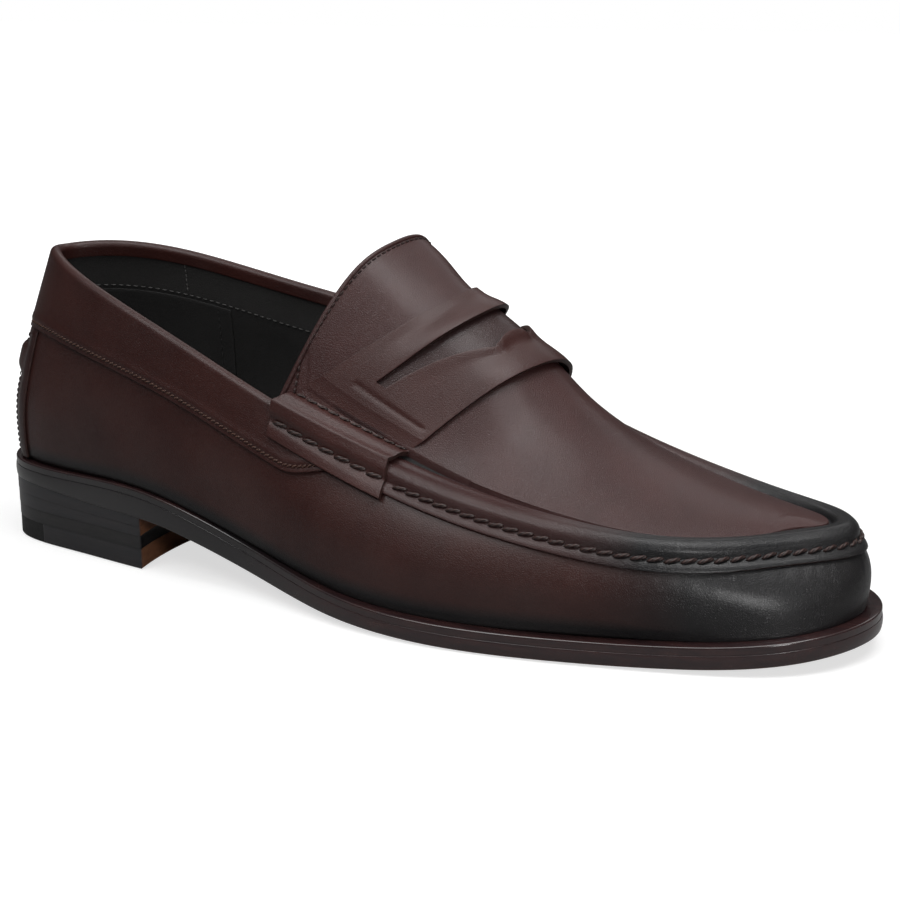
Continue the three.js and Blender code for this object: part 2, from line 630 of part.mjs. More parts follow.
// ---------------------------------------------------------------- assembly
place('outsole', outsole(), BLACK_EDGE, 0.35);
place('midsole', midsole(), BLACK_EDGE, 0.4);
addHeel();
addInsole();
place('vamp_wall', vampWall(), OXBLOOD, 0.35);
place('collar', collar(), OXBLOOD, 0.35);
place('back_strap', backStrap(), OXBLOOD, 0.35);
place('heel_counter', innerLayer(-10, 20, 0.11, 0.6, stiffenerDepth, STIFFENER, 5), 0xcbb594, 0.8);
place('toe_puff', innerLayer(26, 12, 0.13, 0.8, stiffenerDepth, STIFFENER, 4), 0xcbb594, 0.8);
place('quarter_lining', quarterLining(), LINER, 0.75);
place('vamp_lining', vampLining(), LINER, 0.8);
place('apron', apron(), OXBLOOD, 0.35);
place('tongue_lining', tongueLining(), LINER, 0.75);
place('saddle_strap', saddleStrap(), OXBLOOD, 0.32);
addThreads();

const box = new THREE.Box3().setFromObject(group);
const centre = box.getCenter(new THREE.Vector3());
group.position.set(-centre.x, -centre.y, -box.min.z);

export default group;
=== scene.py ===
"""Penny loafer, right foot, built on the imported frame.

The shoe is worked out on one last: a ring of outline points for the sole, a second ring for the
topline and the apron seam, and a crest line over the instep. Every leather sheet is a surface of two
parameters on that last, in millimetres, and is put into the frame in metres at the end.
"""
import logging
import math
from dataclasses import dataclass, field, replace
from enum import Enum
from typing import Callable, Optional, Sequence

import bpy
import numpy as np
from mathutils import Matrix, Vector


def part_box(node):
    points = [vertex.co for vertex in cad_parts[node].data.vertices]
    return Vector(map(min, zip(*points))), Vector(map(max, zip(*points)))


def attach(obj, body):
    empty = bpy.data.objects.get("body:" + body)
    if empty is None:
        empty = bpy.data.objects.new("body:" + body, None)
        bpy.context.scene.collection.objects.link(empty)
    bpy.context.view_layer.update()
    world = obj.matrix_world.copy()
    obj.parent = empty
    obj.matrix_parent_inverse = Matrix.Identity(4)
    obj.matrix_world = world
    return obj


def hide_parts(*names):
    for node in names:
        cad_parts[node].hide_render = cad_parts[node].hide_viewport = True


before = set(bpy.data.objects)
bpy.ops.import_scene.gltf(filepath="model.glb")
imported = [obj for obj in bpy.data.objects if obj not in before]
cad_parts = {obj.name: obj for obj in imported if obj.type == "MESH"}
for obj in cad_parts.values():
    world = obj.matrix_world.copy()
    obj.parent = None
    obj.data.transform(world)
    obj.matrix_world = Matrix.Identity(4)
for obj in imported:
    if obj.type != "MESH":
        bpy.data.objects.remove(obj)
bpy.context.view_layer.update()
LOG = logging.getLogger("loafer")
Array = np.ndarray
MM = 0.001


class Slot(Enum):
    """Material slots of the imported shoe."""

    UPPER = "burgundy_leather"
    EDGE = "edge_black"
    HEEL = "heel_leather"
    FIBRE = "heel_fibre"
    RUBBER = "heel_rubber"
    LINING = "lining_leather"
    DARK_THREAD = "thread_dark"
    RUST_THREAD = "thread_rust"
    NATURAL_THREAD = "thread_natural"
    STIFFENER = "stiffener"
    FOAM = "foam"


# ---------------------------------------------------------------- small maths
def smooth(a: float, b: float, x: Array) -> Array:
    """Smooth step of x from 0 at a to 1 at b."""
    k = np.clip((np.asarray(x, float) - a) / (b - a), 0.0, 1.0)
    return k * k * (3.0 - 2.0 * k)


def mix(a: Array, b: Array, k: Array) -> Array:
    """Straight blend of a and b by k."""
    return a + (b - a) * k


def unit(v: Array) -> Array:
    """Vectors scaled to length one along the last axis."""
    return v / np.maximum(np.linalg.norm(v, axis=-1, keepdims=True), 1e-12)


def col(a: Array) -> Array:
    """Adds a last axis, so that a field of numbers multiplies a field of vectors."""
    return np.asarray(a, float)[..., None]


def hump(x: Array, centre: float, width: float) -> Array:
    """Bell of height one at the centre."""
    return np.exp(-(((x - centre) / width) ** 2))


class Spline:
    """Cubic B-spline that passes through its points, closed in a ring or open.

    The control points P solve P[i-1] + 4 P[i] + P[i+1] = 6 Q[i]; an open one keeps its end points.
    """

    def __init__(self, points: Sequence, ring: bool = True) -> None:
        """Solves for the control points.

        Args:
            points: the points, or plain numbers, in order.
            ring: whether the last one joins the first.
        """
        rows = np.array(points, float).reshape(len(points), -1)
        count = len(rows)
        matrix = np.eye(count) * 4.0
        for i in range(count):
            if ring or 0 < i < count - 1:
                matrix[i, (i - 1) % count] += 1.0
                matrix[i, (i + 1) % count] += 1.0
            else:
                matrix[i, i] = 6.0
        control = np.linalg.solve(matrix, rows * 6.0)
        if not ring:
            control = np.vstack([2 * control[0] - control[1], control, 2 * control[-1] - control[-2]])
        self.control = control
        self.count = count
        self.ring = ring

    def __call__(self, t: Array) -> Array:
        """Points at parameters t, where 0 to 1 is the whole length.

        Args:
            t: parameters of any shape.

        Returns:
            Points, with one more axis than t.
        """
        t = np.asarray(t, float)
        if self.ring:
            s = np.mod(t, 1.0) * self.count
            i = np.minimum(np.floor(s).astype(int), self.count - 1)
        else:
            s = np.clip(t, 0.0, 1.0) * (self.count - 1)
            i = np.minimum(np.floor(s).astype(int), self.count - 2)
        f = col(s - i)
        weights = ((1 - f) ** 3, 3 * f**3 - 6 * f**2 + 4, -3 * f**3 + 3 * f**2 + 3 * f + 1, f**3)
        total = 0.0
        for k, w in enumerate(weights):
            j = (i + k - 1) % self.count if self.ring else i + k
            total = total + w * self.control[j] / 6.0
        return total

    def number(self, t: Array) -> Array:
        """The first coordinate only, for a spline of plain numbers."""
        return self(t)[..., 0]


# ---------------------------------------------------------------- the last
OUTLINE = [(0, 0), (10, -23.8), (40, -31.5), (78, -36.5), (115, -39.5), (150, -48.5), (185, -51.5),
           (221, -46), (254, -37), (284.5, -23.5), (300, 3), (292, 28), (271, 44), (240, 52), (204, 51),
           (168, 41), (132, 28), (94, 25), (50, 30), (12, 23.5)]
LEDGE = [1.2, 1.2, 1.2, 1.2, 1.6, 3, 4, 4.2, 4.4, 4.5, 4.5, 4.5, 4.4, 4.2, 4, 2.6, 1.2, 1, 1.2, 1.2]
TOPLINE = [(14, 2, 97.5), (23, -13, 98), (46, -26.5, 92), (84, -31.5, 77.5), (116, -34.5, 65),
           (148, -35, 53), (182, -36, 43.6), (218, -36.3, 38.3), (250, -27, 34.8), (275, -5, 34),
           (287, 10, 34.8), (280, 25, 34), (262, 34, 34.4), (235, 38, 39.2), (205, 36.5, 49.2),
           (168, 34, 64.8), (130, 33, 78), (92, 30, 86), (50, 25.5, 94.5), (24, 14.5, 97.8)]
BULGE = [3.4, 3.6, 3.8, 3, 4, 5.5, 6, 5.5, 4.5, 4, 4, 4, 4.5, 5.5, 6, 5.5, 4, 3, 4, 4.0]
SKEW = [0.65, 0.65, 0.68, 0.75, 0.85, 0.95, 1, 1, 1.05, 1.1, 1.1, 1.1, 1.05, 1, 1, 0.95, 0.85, 0.75, 0.68,
        0.65]
CREST = [(287, 10, 34.8), (278, 9.5, 36.7), (256, 5, 40.3), (229, 4, 47.5), (205, 3, 60.5),
         (184, 3, 79.5), (163, 4, 93.5), (145, 3, 106.5)]
UNDERSIDE = [21.0, 20.2, 19.3, 9.9, 2.5, 0.15, 0.2, 1.2, 4.8]


@dataclass
class Last:
    """The form that the shoe is built on, in millimetres from the heel's back."""

    length: float = 300.0
    sole_top: float = 6.9
    throat: float = 0.285
    tongue: float = 22 / 64
    spine_end: float = 0.07
    sink: float = 2.3
    shank_drop: float = 2.6
    crown_ease: float = 0.2
    heel_tuck: float = 2.3
    crown: float = 98.6
    outline_ring: Spline = field(default_factory=lambda: Spline(OUTLINE))
    topline_ring: Spline = field(default_factory=lambda: Spline(TOPLINE))
    ledge_ring: Spline = field(default_factory=lambda: Spline(LEDGE))
    bulge_ring: Spline = field(default_factory=lambda: Spline(BULGE))
    skew_ring: Spline = field(default_factory=lambda: Spline(SKEW))
    crest_line: Spline = field(default_factory=lambda: Spline(CREST, ring=False))
    under_line: Spline = field(default_factory=lambda: Spline(UNDERSIDE, ring=False))
    scale: Array = field(default_factory=lambda: np.ones(3))
    origin: Array = field(default_factory=lambda: np.zeros(3))

    def fit(self) -> None:
        """Finds the scale and place in the frame from the outsole's and the collar's boxes."""
        low, high = (np.array(c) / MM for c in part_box("outsole"))
        ring = self.outline_ring(np.linspace(0.0, 1.0, 2001))
        first, last = ring.min(axis=0), ring.max(axis=0)
        self.scale[:2] = (high - low)[:2] / (last - first)
        self.origin[:2] = low[:2] - first * self.scale[:2]
        self.scale[2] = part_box("collar")[1][2] / MM / self.crown

    def metres(self, points: Array) -> Array:
        """Points of the last, in the frame, in metres."""
        return (points * self.scale + self.origin) * MM

    def underside(self, x: Array) -> Array:
        """Height of the outsole's underside at a length from the heel's back."""
        return self.under_line.number(np.asarray(x) / self.length)

    def tread(self, x: Array) -> Array:
        """Height of the outsole's lower face, which hangs lower round the heel's breast."""
        return self.underside(x) - self.shank_drop * smooth(15.0, 60.0, x) * smooth(178.0, 72.0, x)

    def outward(self, t: Array) -> Array:
        """Level direction out of the outline.

        Args:
            t: places round the ring, 0 to 1.

        Returns:
            Ways of length one.
        """
        d = self.outline_ring(t + 1e-3) - self.outline_ring(t - 1e-3)
        flat = np.stack([d[..., 1], -d[..., 0], np.zeros_like(d[..., 0])], axis=-1)
        return unit(flat)

    def feather(self, t: Array) -> Array:
        """Line where the upper meets the sole's ledge.

        Args:
            t: places round the ring, 0 to 1.

        Returns:
            Points.
        """
        edge = self.outline_ring(t)
        flat = np.concatenate([edge, np.zeros_like(edge[..., :1])], axis=-1)
        spot = flat - self.outward(t) * self.ledge_ring(t)
        spot[..., 2] = self.underside(spot[..., 0]) + self.sole_top
        return spot

    def height(self, t: Array) -> Array:
        """Straight distance from the feather line to the topline."""
        return np.linalg.norm(self.topline_ring(t) - self.feather(t), axis=-1)

    def _wall(self, t: Array, v: Array) -> Array:
        """Outer face of the side: a ruled surface swollen along the level normal by a sine of v.

        Low on the heel's back it is drawn in by heel_tuck e^(-(turn / 0.1)^2).

        Args:
            t: places round the ring, 0 to 1.
            v: share of the way from the sole to the topline.

        Returns:
            Points.
        """
        swell = self.bulge_ring.number(t) * np.sin(np.pi * np.clip(v, 0, 1) ** self.skew_ring.number(t))
        turn = 0.5 - np.abs(np.mod(t, 1.0) - 0.5)
        swell = swell - self.heel_tuck * smooth(0.34, 0.02, v) * np.exp(-((turn / 0.1) ** 2))
        foot = self.feather(t)
        return foot + (self.topline_ring(t) - foot) * col(v) + self.outward(t) * col(swell)

    def wall_frame(self, t: Array, v: Array) -> tuple[Array, Array, Array]:
        """Point, outward normal and upward tangent of the side at (t, v).

        Args:
            t: places round the ring, 0 to 1.
            v: share of the way up.

        Returns:
            The three of them.
        """
        h = 2e-3
        top = np.clip(v + h, 0, 1)
        low = np.clip(v - h, 0, 1)
        along = self._wall(t + h, v) - self._wall(t - h, v)
        up = unit(self._wall(t, top) - self._wall(t, low))
        normal = unit(np.cross(along, up))
        turn = np.sign((normal * self.outward(t)).sum(axis=-1))
        return self._wall(t, v), normal * col(turn), up

    def side(self, t: Array, v: Array, offset: Array) -> Array:
        """Point at an offset from the side's outer face.

        Args:
            t: places round the ring, 0 to 1.
            v: share of the way up.
            offset: distance outward.

        Returns:
            Points.
        """
        t, v, offset = np.broadcast_arrays(t, v, offset)
        point, normal, _ = self.wall_frame(t, v)
        return point + normal * col(offset)

    def below_top(self, t: Array, drop: Array, offset: Array) -> Array:
        """Point a distance below the topline, or above it where drop is negative.

        Args:
            t: places round the ring, 0 to 1.
            drop: distance down the side.
            offset: distance outward.

        Returns:
            Points.
        """
        t, drop, offset = np.broadcast_arrays(t, drop, offset)
        v = 1.0 - np.maximum(drop, 0.0) / self.height(t)
        point, normal, up = self.wall_frame(t, v)
        return point + normal * col(offset) + up * col(np.maximum(-drop, 0.0))

    def rim(self, tau: Array, side: Array) -> Array:
        """Edge of the apron and tongue in row tau: the seam, and past the throat the tongue's own edge.

        Args:
            tau: distance from the toe's tip along the ring.
            side: -1 for the outer side, 1 for the inner.

        Returns:
            Points.
        """
        row = np.minimum(tau, self.throat)
        k = col(np.maximum(tau - self.throat, 0.0) / (self.tongue - self.throat))
        shift = np.where(col(side) < 0, np.array([3.0, 3.0, 8.0]), np.array([0.0, -3.0, 7.0]))
        return self.topline_ring(0.5 + side * row) + shift * k

    def _fan(self, t: Array, k: Array) -> Array:
        """Apron surface as a fan round the seam: k is 0 on the seam and 1 on the crest.

        P = rim + (chord middle - rim) k + (crest - chord middle) (1 - f(1 - k)), where f(u) is u^m eased
        at the crest: ((u^2 + e^2)^(m/2) - e^m) / ((1 + e^2)^(m/2) - e^m). On the outer side m grows from 2
        at the toe to 3.6 on the tongue; the inner side is flatter. The columns at the toe tip share one
        end of the crest, and the rim lies a little below the seam, behind the ridge.

        Args:
            t: places round the ring, 0 to 1.
            k: share of the way from the seam to the crest.

        Returns:
            Points.
        """
        turn = t - 0.5
        side = np.where(turn < 0, -1.0, 1.0)
        tau = np.maximum(np.abs(turn), self.spine_end)
        sunk = col(self.sink * smooth(0.305, 0.255, np.abs(turn))) * np.array([0.0, 0.0, 1.0])
        rim = self.rim(np.abs(turn), side) - sunk
        middle = (self.rim(tau, -np.ones_like(tau)) + self.rim(tau, np.ones_like(tau))) / 2 - sunk
        crest = self.crest_line(tau / self.tongue) - sunk * col(smooth(0.2, 0.05, tau))
        power = np.where(side < 0, 2.0 + 1.6 * smooth(0.1, 0.35, tau), 1.8 + 0.35 * smooth(0.2, 0.235, tau)
                         + 0.9 * smooth(0.285, 0.335, tau))
        far, soft = 1.0 - np.clip(k, 0, 1), self.crown_ease
        eased = (far**2 + soft**2) ** (power / 2) - soft**power
        arch = 1.0 - eased / ((1 + soft**2) ** (power / 2) - soft**power)
        return rim + (middle - rim) * col(k) + (crest - middle) * col(arch)

    def apron_frame(self, t: Array, k: Array) -> tuple[Array, Array, Array]:
        """Point, upward normal and inward tangent of the apron fan at (t, k).

        Args:
            t: places round the ring, 0 to 1.
            k: share of the way to the crest.

        Returns:
            The three of them.
        """
        h = 2e-3
        inward = unit(self._fan(t, np.minimum(k + h, 1)) - self._fan(t, np.maximum(k - h, 0)))
        along = self._fan(t + h, k) - self._fan(t - h, k)
        normal = unit(np.cross(inward, along))
        return self._fan(t, k), normal * np.sign(normal[..., 2:3]), inward

    def apron(self, t: Array, k: Array, offset: Array) -> Array:
        """Point at an offset above the apron fan.

        Args:
            t: places round the ring, 0 to 1.
            k: share of the way to the crest.
            offset: distance upward.

        Returns:
            Points.
        """
        t, k, offset = np.broadcast_arrays(t, k, offset)
        point, normal, _ = self.apron_frame(t, k)
        return point + normal * col(offset)

    def half_width(self, t: Array) -> Array:
        """Straight distance from the seam to the crest in each column of the fan."""
        one = np.ones_like(t)
        return np.linalg.norm(self._fan(t, one) - self._fan(t, one * 0), axis=-1)


LAST = Last()


# ---------------------------------------------------------------- meshes
def weld(points: Array, faces: Array) -> tuple[Array, Array, Array]:
    """Joins points that fall together, to a thousandth of a millimetre.

    Args:
        points: (n, 3) places in millimetres.
        faces: (m, 4) corner numbers.

    Returns:
        The points that are left, the faces with their new numbers, and for each old point its new one.
    """
    keys = np.round(points * 1000.0).astype(np.int64)
    _, first, back = np.unique(keys, axis=0, return_index=True, return_inverse=True)
    return points[first], back.reshape(-1)[faces], first


def grid_faces(rows: int, columns: int, ring: bool = False) -> Array:
    """Quads over a grid of rows by columns points; a ring joins the last row to the first.

    Args:
        rows: number of rows.
        columns: points in a row.
        ring: whether the last row joins the first.

    Returns:
        (m, 4) corner numbers.
    """
    i = np.arange(rows if ring else rows - 1)
    j = np.arange(columns - 1)
    a, b = np.meshgrid(i, j, indexing="ij")
    c = (a + 1) % rows
    quads = np.stack([a * columns + b, c * columns + b, c * columns + b + 1, a * columns + b + 1], axis=-1)
    return quads.reshape(-1, 4)


def set_field(mesh: bpy.types.Mesh, name: str, values: Array) -> None:
    """Keeps a number for each point of a mesh, as an attribute for the materials."""
    mesh.attributes.new(name, "FLOAT", "POINT").data.foreach_set("value", np.asarray(values, np.float32))


def last_places(mesh: bpy.types.Mesh) -> Array:
    """Places of a mesh's points on the last, in millimetres.

    Args:
        mesh: the mesh, in the frame.

    Returns:
        (n, 3) places.
    """
    spots = np.empty(len(mesh.vertices) * 3, np.float32)
    mesh.vertices.foreach_get("co", spots)
    return spots.reshape(-1, 3) / MM - LAST.origin


def make_mesh(name: str, points: Array, faces: Array, fields: Optional[dict[str, Array]] = None,
              outward: Optional[Callable[[Array], Array]] = None) -> bpy.types.Object:
    """Puts points and quads into a new mesh object in the frame.

    Args:
        name: the piece's name.
        points: (n, 3) places on the last, in millimetres.
        faces: (m, 4) corner numbers; collapsed corners are dropped.
        fields: numbers for each point, kept as attributes for the materials.
        outward: gives the way out for an array of face centres, to turn the faces by.

    Returns:
        The object, linked to the scene.
    """
    kept, quads, first = weld(points, faces)
    spots = LAST.metres(kept)
    corners = spots[quads]
    normal = np.cross(corners[:, 2] - corners[:, 0], corners[:, 3] - corners[:, 1])
    if outward is not None:
        way = outward(kept[quads].mean(axis=1))
        if (normal * way).sum() < 0:
            quads = quads[:, ::-1]
    else:
        volume = (corners[:, 0] * normal).sum()
        if volume < 0:
            quads = quads[:, ::-1]
    loops = [list(dict.fromkeys(quad)) for quad in quads.tolist()]
    polygons = [loop for loop in loops if len(loop) > 2]
    mesh = bpy.data.meshes.new(name)
    mesh.from_pydata(spots.tolist(), [], polygons)
    for key, values in (fields or {}).items():
        set_field(mesh, key, np.asarray(values, float).reshape(-1)[first])
    mesh.polygons.foreach_set("use_smooth", [True] * len(mesh.polygons))
    mesh.update()
    thing = bpy.data.objects.new(name, mesh)
    bpy.context.scene.collection.objects.link(thing)
    return thing


def thicken(piece: bpy.types.Object, thickness: float, edge: float = 0.3) -> None:
    """Gives a sheet its thickness inward and rounds its cut edges, both in millimetres.

    Args:
        piece: the sheet.
        thickness: its thickness.
        edge: width of the rounding.
    """
    solid = piece.modifiers.new("thickness", "SOLIDIFY")
    solid.thickness = thickness * MM
    solid.offset = -1.0
    bevel = piece.modifiers.new("edge", "BEVEL")
    bevel.width = edge * MM
    bevel.segments = 2
    bevel.limit_method = "ANGLE"
    bevel.angle_limit = math.radians(50)


def bare_edge(piece: bpy.types.Object, material: bpy.types.Material) -> None:
    """Shows the cut edge of a thickened sheet in its own finish."""
    piece.data.materials.append(material)
    piece.modifiers["thickness"].material_offset_rim = 1


def finish_piece(piece: bpy.types.Object, material: bpy.types.Material, slot: Slot, *nodes: str) -> None:
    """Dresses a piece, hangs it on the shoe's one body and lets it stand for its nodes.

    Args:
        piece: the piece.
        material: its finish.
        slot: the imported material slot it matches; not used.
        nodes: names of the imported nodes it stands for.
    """
    piece.data.materials.clear()
    piece.data.materials.append(material)
    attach(piece, "root")
    if nodes:
        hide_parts(*nodes)
    LOG.info("%s: %d faces", piece.name, len(piece.data.polygons))


# ---------------------------------------------------------------- finishes
class Nodes:
    """Builds the node tree of one material or group with short calls."""

    def __init__(self, tree: bpy.types.NodeTree) -> None:
        """Keeps the tree that nodes are added to."""
        self.tree = tree

    def add(self, kind: str, **inputs: object) -> bpy.types.Node:
        """Adds a node.

        Args:
            kind: the node's type, without its ShaderNode prefix.
            inputs: sockets by name, with underscores for spaces, each a value or a socket to link;
                names of the node's own properties set those.

        Returns:
            The node.
        """
        node = self.tree.nodes.new("ShaderNode" + kind)
        own = [key for key in inputs if hasattr(node, key) and key not in ("inputs", "outputs", "color")]
        for key in own:
            setattr(node, key, inputs[key])
        for key, value in inputs.items():
            if key not in own:
                self.put(node, key, value)
        return node

    def put(self, node: bpy.types.Node, key: str, value: object) -> None:
        """Sets or links one input socket, by its name or its number written i0, i1 and so on.

        Args:
            node: the node.
            key: the socket's name or number.
            value: a value, or a socket to link.
        """
        numbered = key[0] == "i" and key[1:].isdigit()
        socket = node.inputs[int(key[1:]) if numbered else key.replace("_", " ")]
        if isinstance(value, bpy.types.NodeSocket):
            self.tree.links.new(value, socket)
        else:
            socket.default_value = value

    def math(self, operation: str, a: object, b: object = 0.0, c: object = 0.0) -> bpy.types.NodeSocket:
        """Result of a Math node."""
        return self.add("Math", operation=operation, i0=a, i1=b, i2=c).outputs[0]

    def mix(self, factor: object, a: object, b: object) -> bpy.types.NodeSocket:
        """Colour result of a Mix node."""
        return self.add("Mix", data_type="RGBA", i0=factor, i6=a, i7=b).outputs[2]

    def spread(self, value: object, low: float, high: float, to_low: float = 0.0,
               to_high: float = 1.0) -> bpy.types.NodeSocket:
        """Value carried from one range to another, held at the ends."""
        return self.add("MapRange", Value=value, From_Min=low, From_Max=high, To_Min=to_low,
                        To_Max=to_high).outputs[0]

    def attribute(self, name: str) -> bpy.types.NodeSocket:
        """A mesh attribute's number."""
        return self.add("Attribute", attribute_name=name).outputs["Fac"]

    def place(self) -> bpy.types.NodeSocket:
        """Object coordinates, in metres."""
        return self.add("TexCoord").outputs["Object"]


def group(name: str, inputs: dict[str, float], outputs: dict[str, str],
          build: Callable[["Nodes", bpy.types.Node, bpy.types.Node], None]) -> bpy.types.NodeTree:
    """Makes a shader node group.

    Args:
        name: the group's name.
        inputs: number inputs with their first values; the input called Place is a vector.
        outputs: output names with the last part of their socket type.
        build: fills the group, given its nodes and its input and output nodes.

    Returns:
        The group's tree.
    """
    tree = bpy.data.node_groups.new(name, "ShaderNodeTree")
    for key, value in inputs.items():
        kind = "NodeSocketVector" if key == "Place" else "NodeSocketFloat"
        socket = tree.interface.new_socket(key, in_out="INPUT", socket_type=kind)
        if key != "Place":
            socket.default_value = value
    for key, kind in outputs.items():
        tree.interface.new_socket(key, in_out="OUTPUT", socket_type="NodeSocket" + kind)
    into = tree.nodes.new("NodeGroupInput")
    out = tree.nodes.new("NodeGroupOutput")
    build(Nodes(tree), into, out)
    return tree


def fill_grain(n: Nodes, into: bpy.types.Node, out: bpy.types.Node) -> None:
    """Calf grain: fine rounded cells with creases between them, and a finer noise over them.

    Args:
        n: the group's nodes.
        into: its input node.
        out: its output node.
    """
    place = into.outputs["Place"]
    bend = n.add("TexNoise", Vector=place, Scale=n.math("MULTIPLY", into.outputs["Cells"], 0.35), Detail=2.0)
    moved = n.add("VectorMath", operation="MULTIPLY_ADD", i0=bend.outputs["Color"],
                  i1=(0.0004, 0.0004, 0.0004), i2=place).outputs[0]
    cells = n.add("TexVoronoi", feature="F1", Vector=moved, Scale=into.outputs["Cells"], Randomness=0.9)
    creases = n.add("TexVoronoi", feature="DISTANCE_TO_EDGE", Vector=moved, Scale=into.outputs["Cells"],
                    Randomness=0.9)
    fine = n.add("TexNoise", Vector=place, Scale=n.math("MULTIPLY", into.outputs["Cells"], 2.3), Detail=3.0)
    wide = n.add("TexNoise", Vector=place, Scale=38.0, Detail=3.0, Roughness=0.6)
    dome = n.spread(cells.outputs["Distance"], 0.0, 0.75, 1.0, 0.0)
    gap = n.spread(creases.outputs["Distance"], 0.0, 0.14)
    height = n.math("MULTIPLY_ADD", dome, 0.35, n.math("MULTIPLY", gap, 0.5))
    height = n.math("MULTIPLY_ADD", fine.outputs[0], 0.45, height)
    n.tree.links.new(height, out.inputs["Height"])
    n.tree.links.new(gap, out.inputs["Creases"])
    n.tree.links.new(wide.outputs[0], out.inputs["Cloud"])
    n.tree.links.new(fine.outputs[0], out.inputs["Fine"])


def fill_fibre(n: Nodes, into: bpy.types.Node, out: bpy.types.Node) -> None:
    """Cut or brushed fibres: noise stretched along the sole, with darker flecks.

    Args:
        n: the group's nodes.
        into: its input node.
        out: its output node.
    """
    stretched = n.add("Mapping", Vector=into.outputs["Place"], Scale=(0.18, 1.0, 1.6))
    strands = n.add("TexNoise", Vector=stretched.outputs[0], Scale=into.outputs["Strands"], Detail=4.0,
                    Roughness=0.65)
    flecks = n.add("TexVoronoi", feature="F1", Vector=stretched.outputs[0],
                   Scale=n.math("MULTIPLY", into.outputs["Strands"], 0.4), Randomness=1.0)
    n.tree.links.new(strands.outputs[0], out.inputs["Strand"])
    n.tree.links.new(n.spread(flecks.outputs["Distance"], 0.05, 0.3), out.inputs["Fleck"])


def fill_wear(n: Nodes, into: bpy.types.Node, out: bpy.types.Node) -> None:
    """Handling marks: short scuffs, and dust that lies in broad patches.

    Args:
        n: the group's nodes.
        into: its input node.
        out: its output node.
    """
    place = into.outputs["Place"]
    drawn = n.add("Mapping", Vector=place, Rotation=(0.3, 0.5, 0.8), Scale=(1.0, 9.0, 3.0))
    scuff = n.add("TexNoise", Vector=drawn.outputs[0], Scale=60.0, Detail=5.0, Roughness=0.7)
    dust = n.add("TexNoise", Vector=place, Scale=22.0, Detail=4.0)
    n.tree.links.new(n.math("MULTIPLY", n.spread(scuff.outputs[0], 0.62, 0.78), into.outputs["Amount"]),
                     out.inputs["Scuff"])
    n.tree.links.new(n.math("MULTIPLY", n.spread(dust.outputs[0], 0.45, 0.8), into.outputs["Amount"]),
                     out.inputs["Dust"])


GRAIN = group("calf_grain", {"Place": 0.0, "Cells": 900.0},
              {"Height": "Float", "Creases": "Float", "Cloud": "Float", "Fine": "Float"}, fill_grain)
FIBRE = group("leather_fibre", {"Place": 0.0, "Strands": 600.0}, {"Strand": "Float", "Fleck": "Float"},
              fill_fibre)
WEAR = group("handling_wear", {"Place": 0.0, "Amount": 1.0}, {"Scuff": "Float", "Dust": "Float"}, fill_wear)


def use_group(n: Nodes, tree: bpy.types.NodeTree, **inputs: object) -> bpy.types.Node:
    """Places a group in a material, on Object coordinates, with its own values.

    Args:
        n: the material's nodes.
        tree: the group.
        inputs: its values by name.

    Returns:
        The group's node.
    """
    node = n.tree.nodes.new("ShaderNodeGroup")
    node.node_tree = tree
    n.put(node, "Place", n.place())
    for key, value in inputs.items():
        n.put(node, key, value)
    return node


def rgba(colour: Sequence[float]) -> tuple[float, float, float, float]:
    """A linear colour with its alpha."""
    return (colour[0], colour[1], colour[2], 1.0)


def new_material(name: str) -> tuple[bpy.types.Material, Nodes, bpy.types.Node]:
    """A material, its nodes and its shader.

    Args:
        name: the name it gets.

    Returns:
        The three of them.
    """
    material = bpy.data.materials.new(name)
    material.use_nodes = True
    nodes = Nodes(material.node_tree)
    return material, nodes, material.node_tree.nodes["Principled BSDF"]


@dataclass(frozen=True)
class Calf:
    """Polished calf leather, darker where the piece's burnish_and_shade attribute says so: real burnish, and
    painted shade in places.
    """

    name: str
    colour: tuple[float, float, float] = (0.05, 0.0152, 0.0122)
    deep: tuple[float, float, float] = (0.029, 0.0076, 0.0064)
    black: tuple[float, float, float] = (0.0055, 0.0055, 0.0065)
    roughness: float = 0.38
    coat: float = 0.15
    cells: float = 1750.0
    relief: float = 0.00006
    specular: float = 0.36

    def make(self) -> bpy.types.Material:
        """Colour clouded by the dye, darker in the creases and by the burnish_and_shade attribute, which
        holds real burnish and painted shade; grain and wear in the gloss.

        Returns:
            The material.
        """
        material, n, shader = new_material(self.name)
        grain = use_group(n, GRAIN, Cells=self.cells)
        wear = use_group(n, WEAR, Amount=1.0)
        burnish_and_shade = n.attribute("burnish_and_shade")
        cloud = n.spread(grain.outputs["Cloud"], 0.3, 0.7)
        body = n.mix(cloud, rgba(self.deep), rgba(self.colour))
        body = n.mix(n.spread(grain.outputs["Creases"], 0.0, 1.0, 0.35, 0.0), body, rgba(self.deep))
        # The attribute darkens towards near black: real burnish at the toe, and painted shade where a piece
        # puts it.
        ragged = n.math("ADD", burnish_and_shade, n.math("MULTIPLY_ADD", grain.outputs["Cloud"], 0.3, -0.15))
        dark = n.math("MULTIPLY", n.spread(ragged, 0.12, 0.88), n.spread(burnish_and_shade, 0.0, 0.1))
        body = n.mix(dark, body, rgba(self.black))
        body = n.mix(n.math("MULTIPLY", wear.outputs["Dust"], 0.05), body, (0.3, 0.27, 0.26, 1.0))
        n.put(shader, "Base Color", body)
        rough = n.math("MULTIPLY_ADD", grain.outputs["Fine"], 0.16, self.roughness - 0.08)
        rough = n.math("MULTIPLY_ADD", wear.outputs["Scuff"], 0.07, rough)
        n.put(shader, "Roughness", n.math("MULTIPLY_ADD", dark, -0.05, rough))
        shader.inputs["Specular IOR Level"].default_value = self.specular
        shader.inputs["Coat Weight"].default_value = self.coat
        shader.inputs["Coat Roughness"].default_value = 0.22
        bump = n.add("Bump", Height=grain.outputs["Height"], Distance=self.relief)
        bump.inputs["Strength"].default_value = 1.0
        n.put(shader, "Normal", bump.outputs[0])
        return material


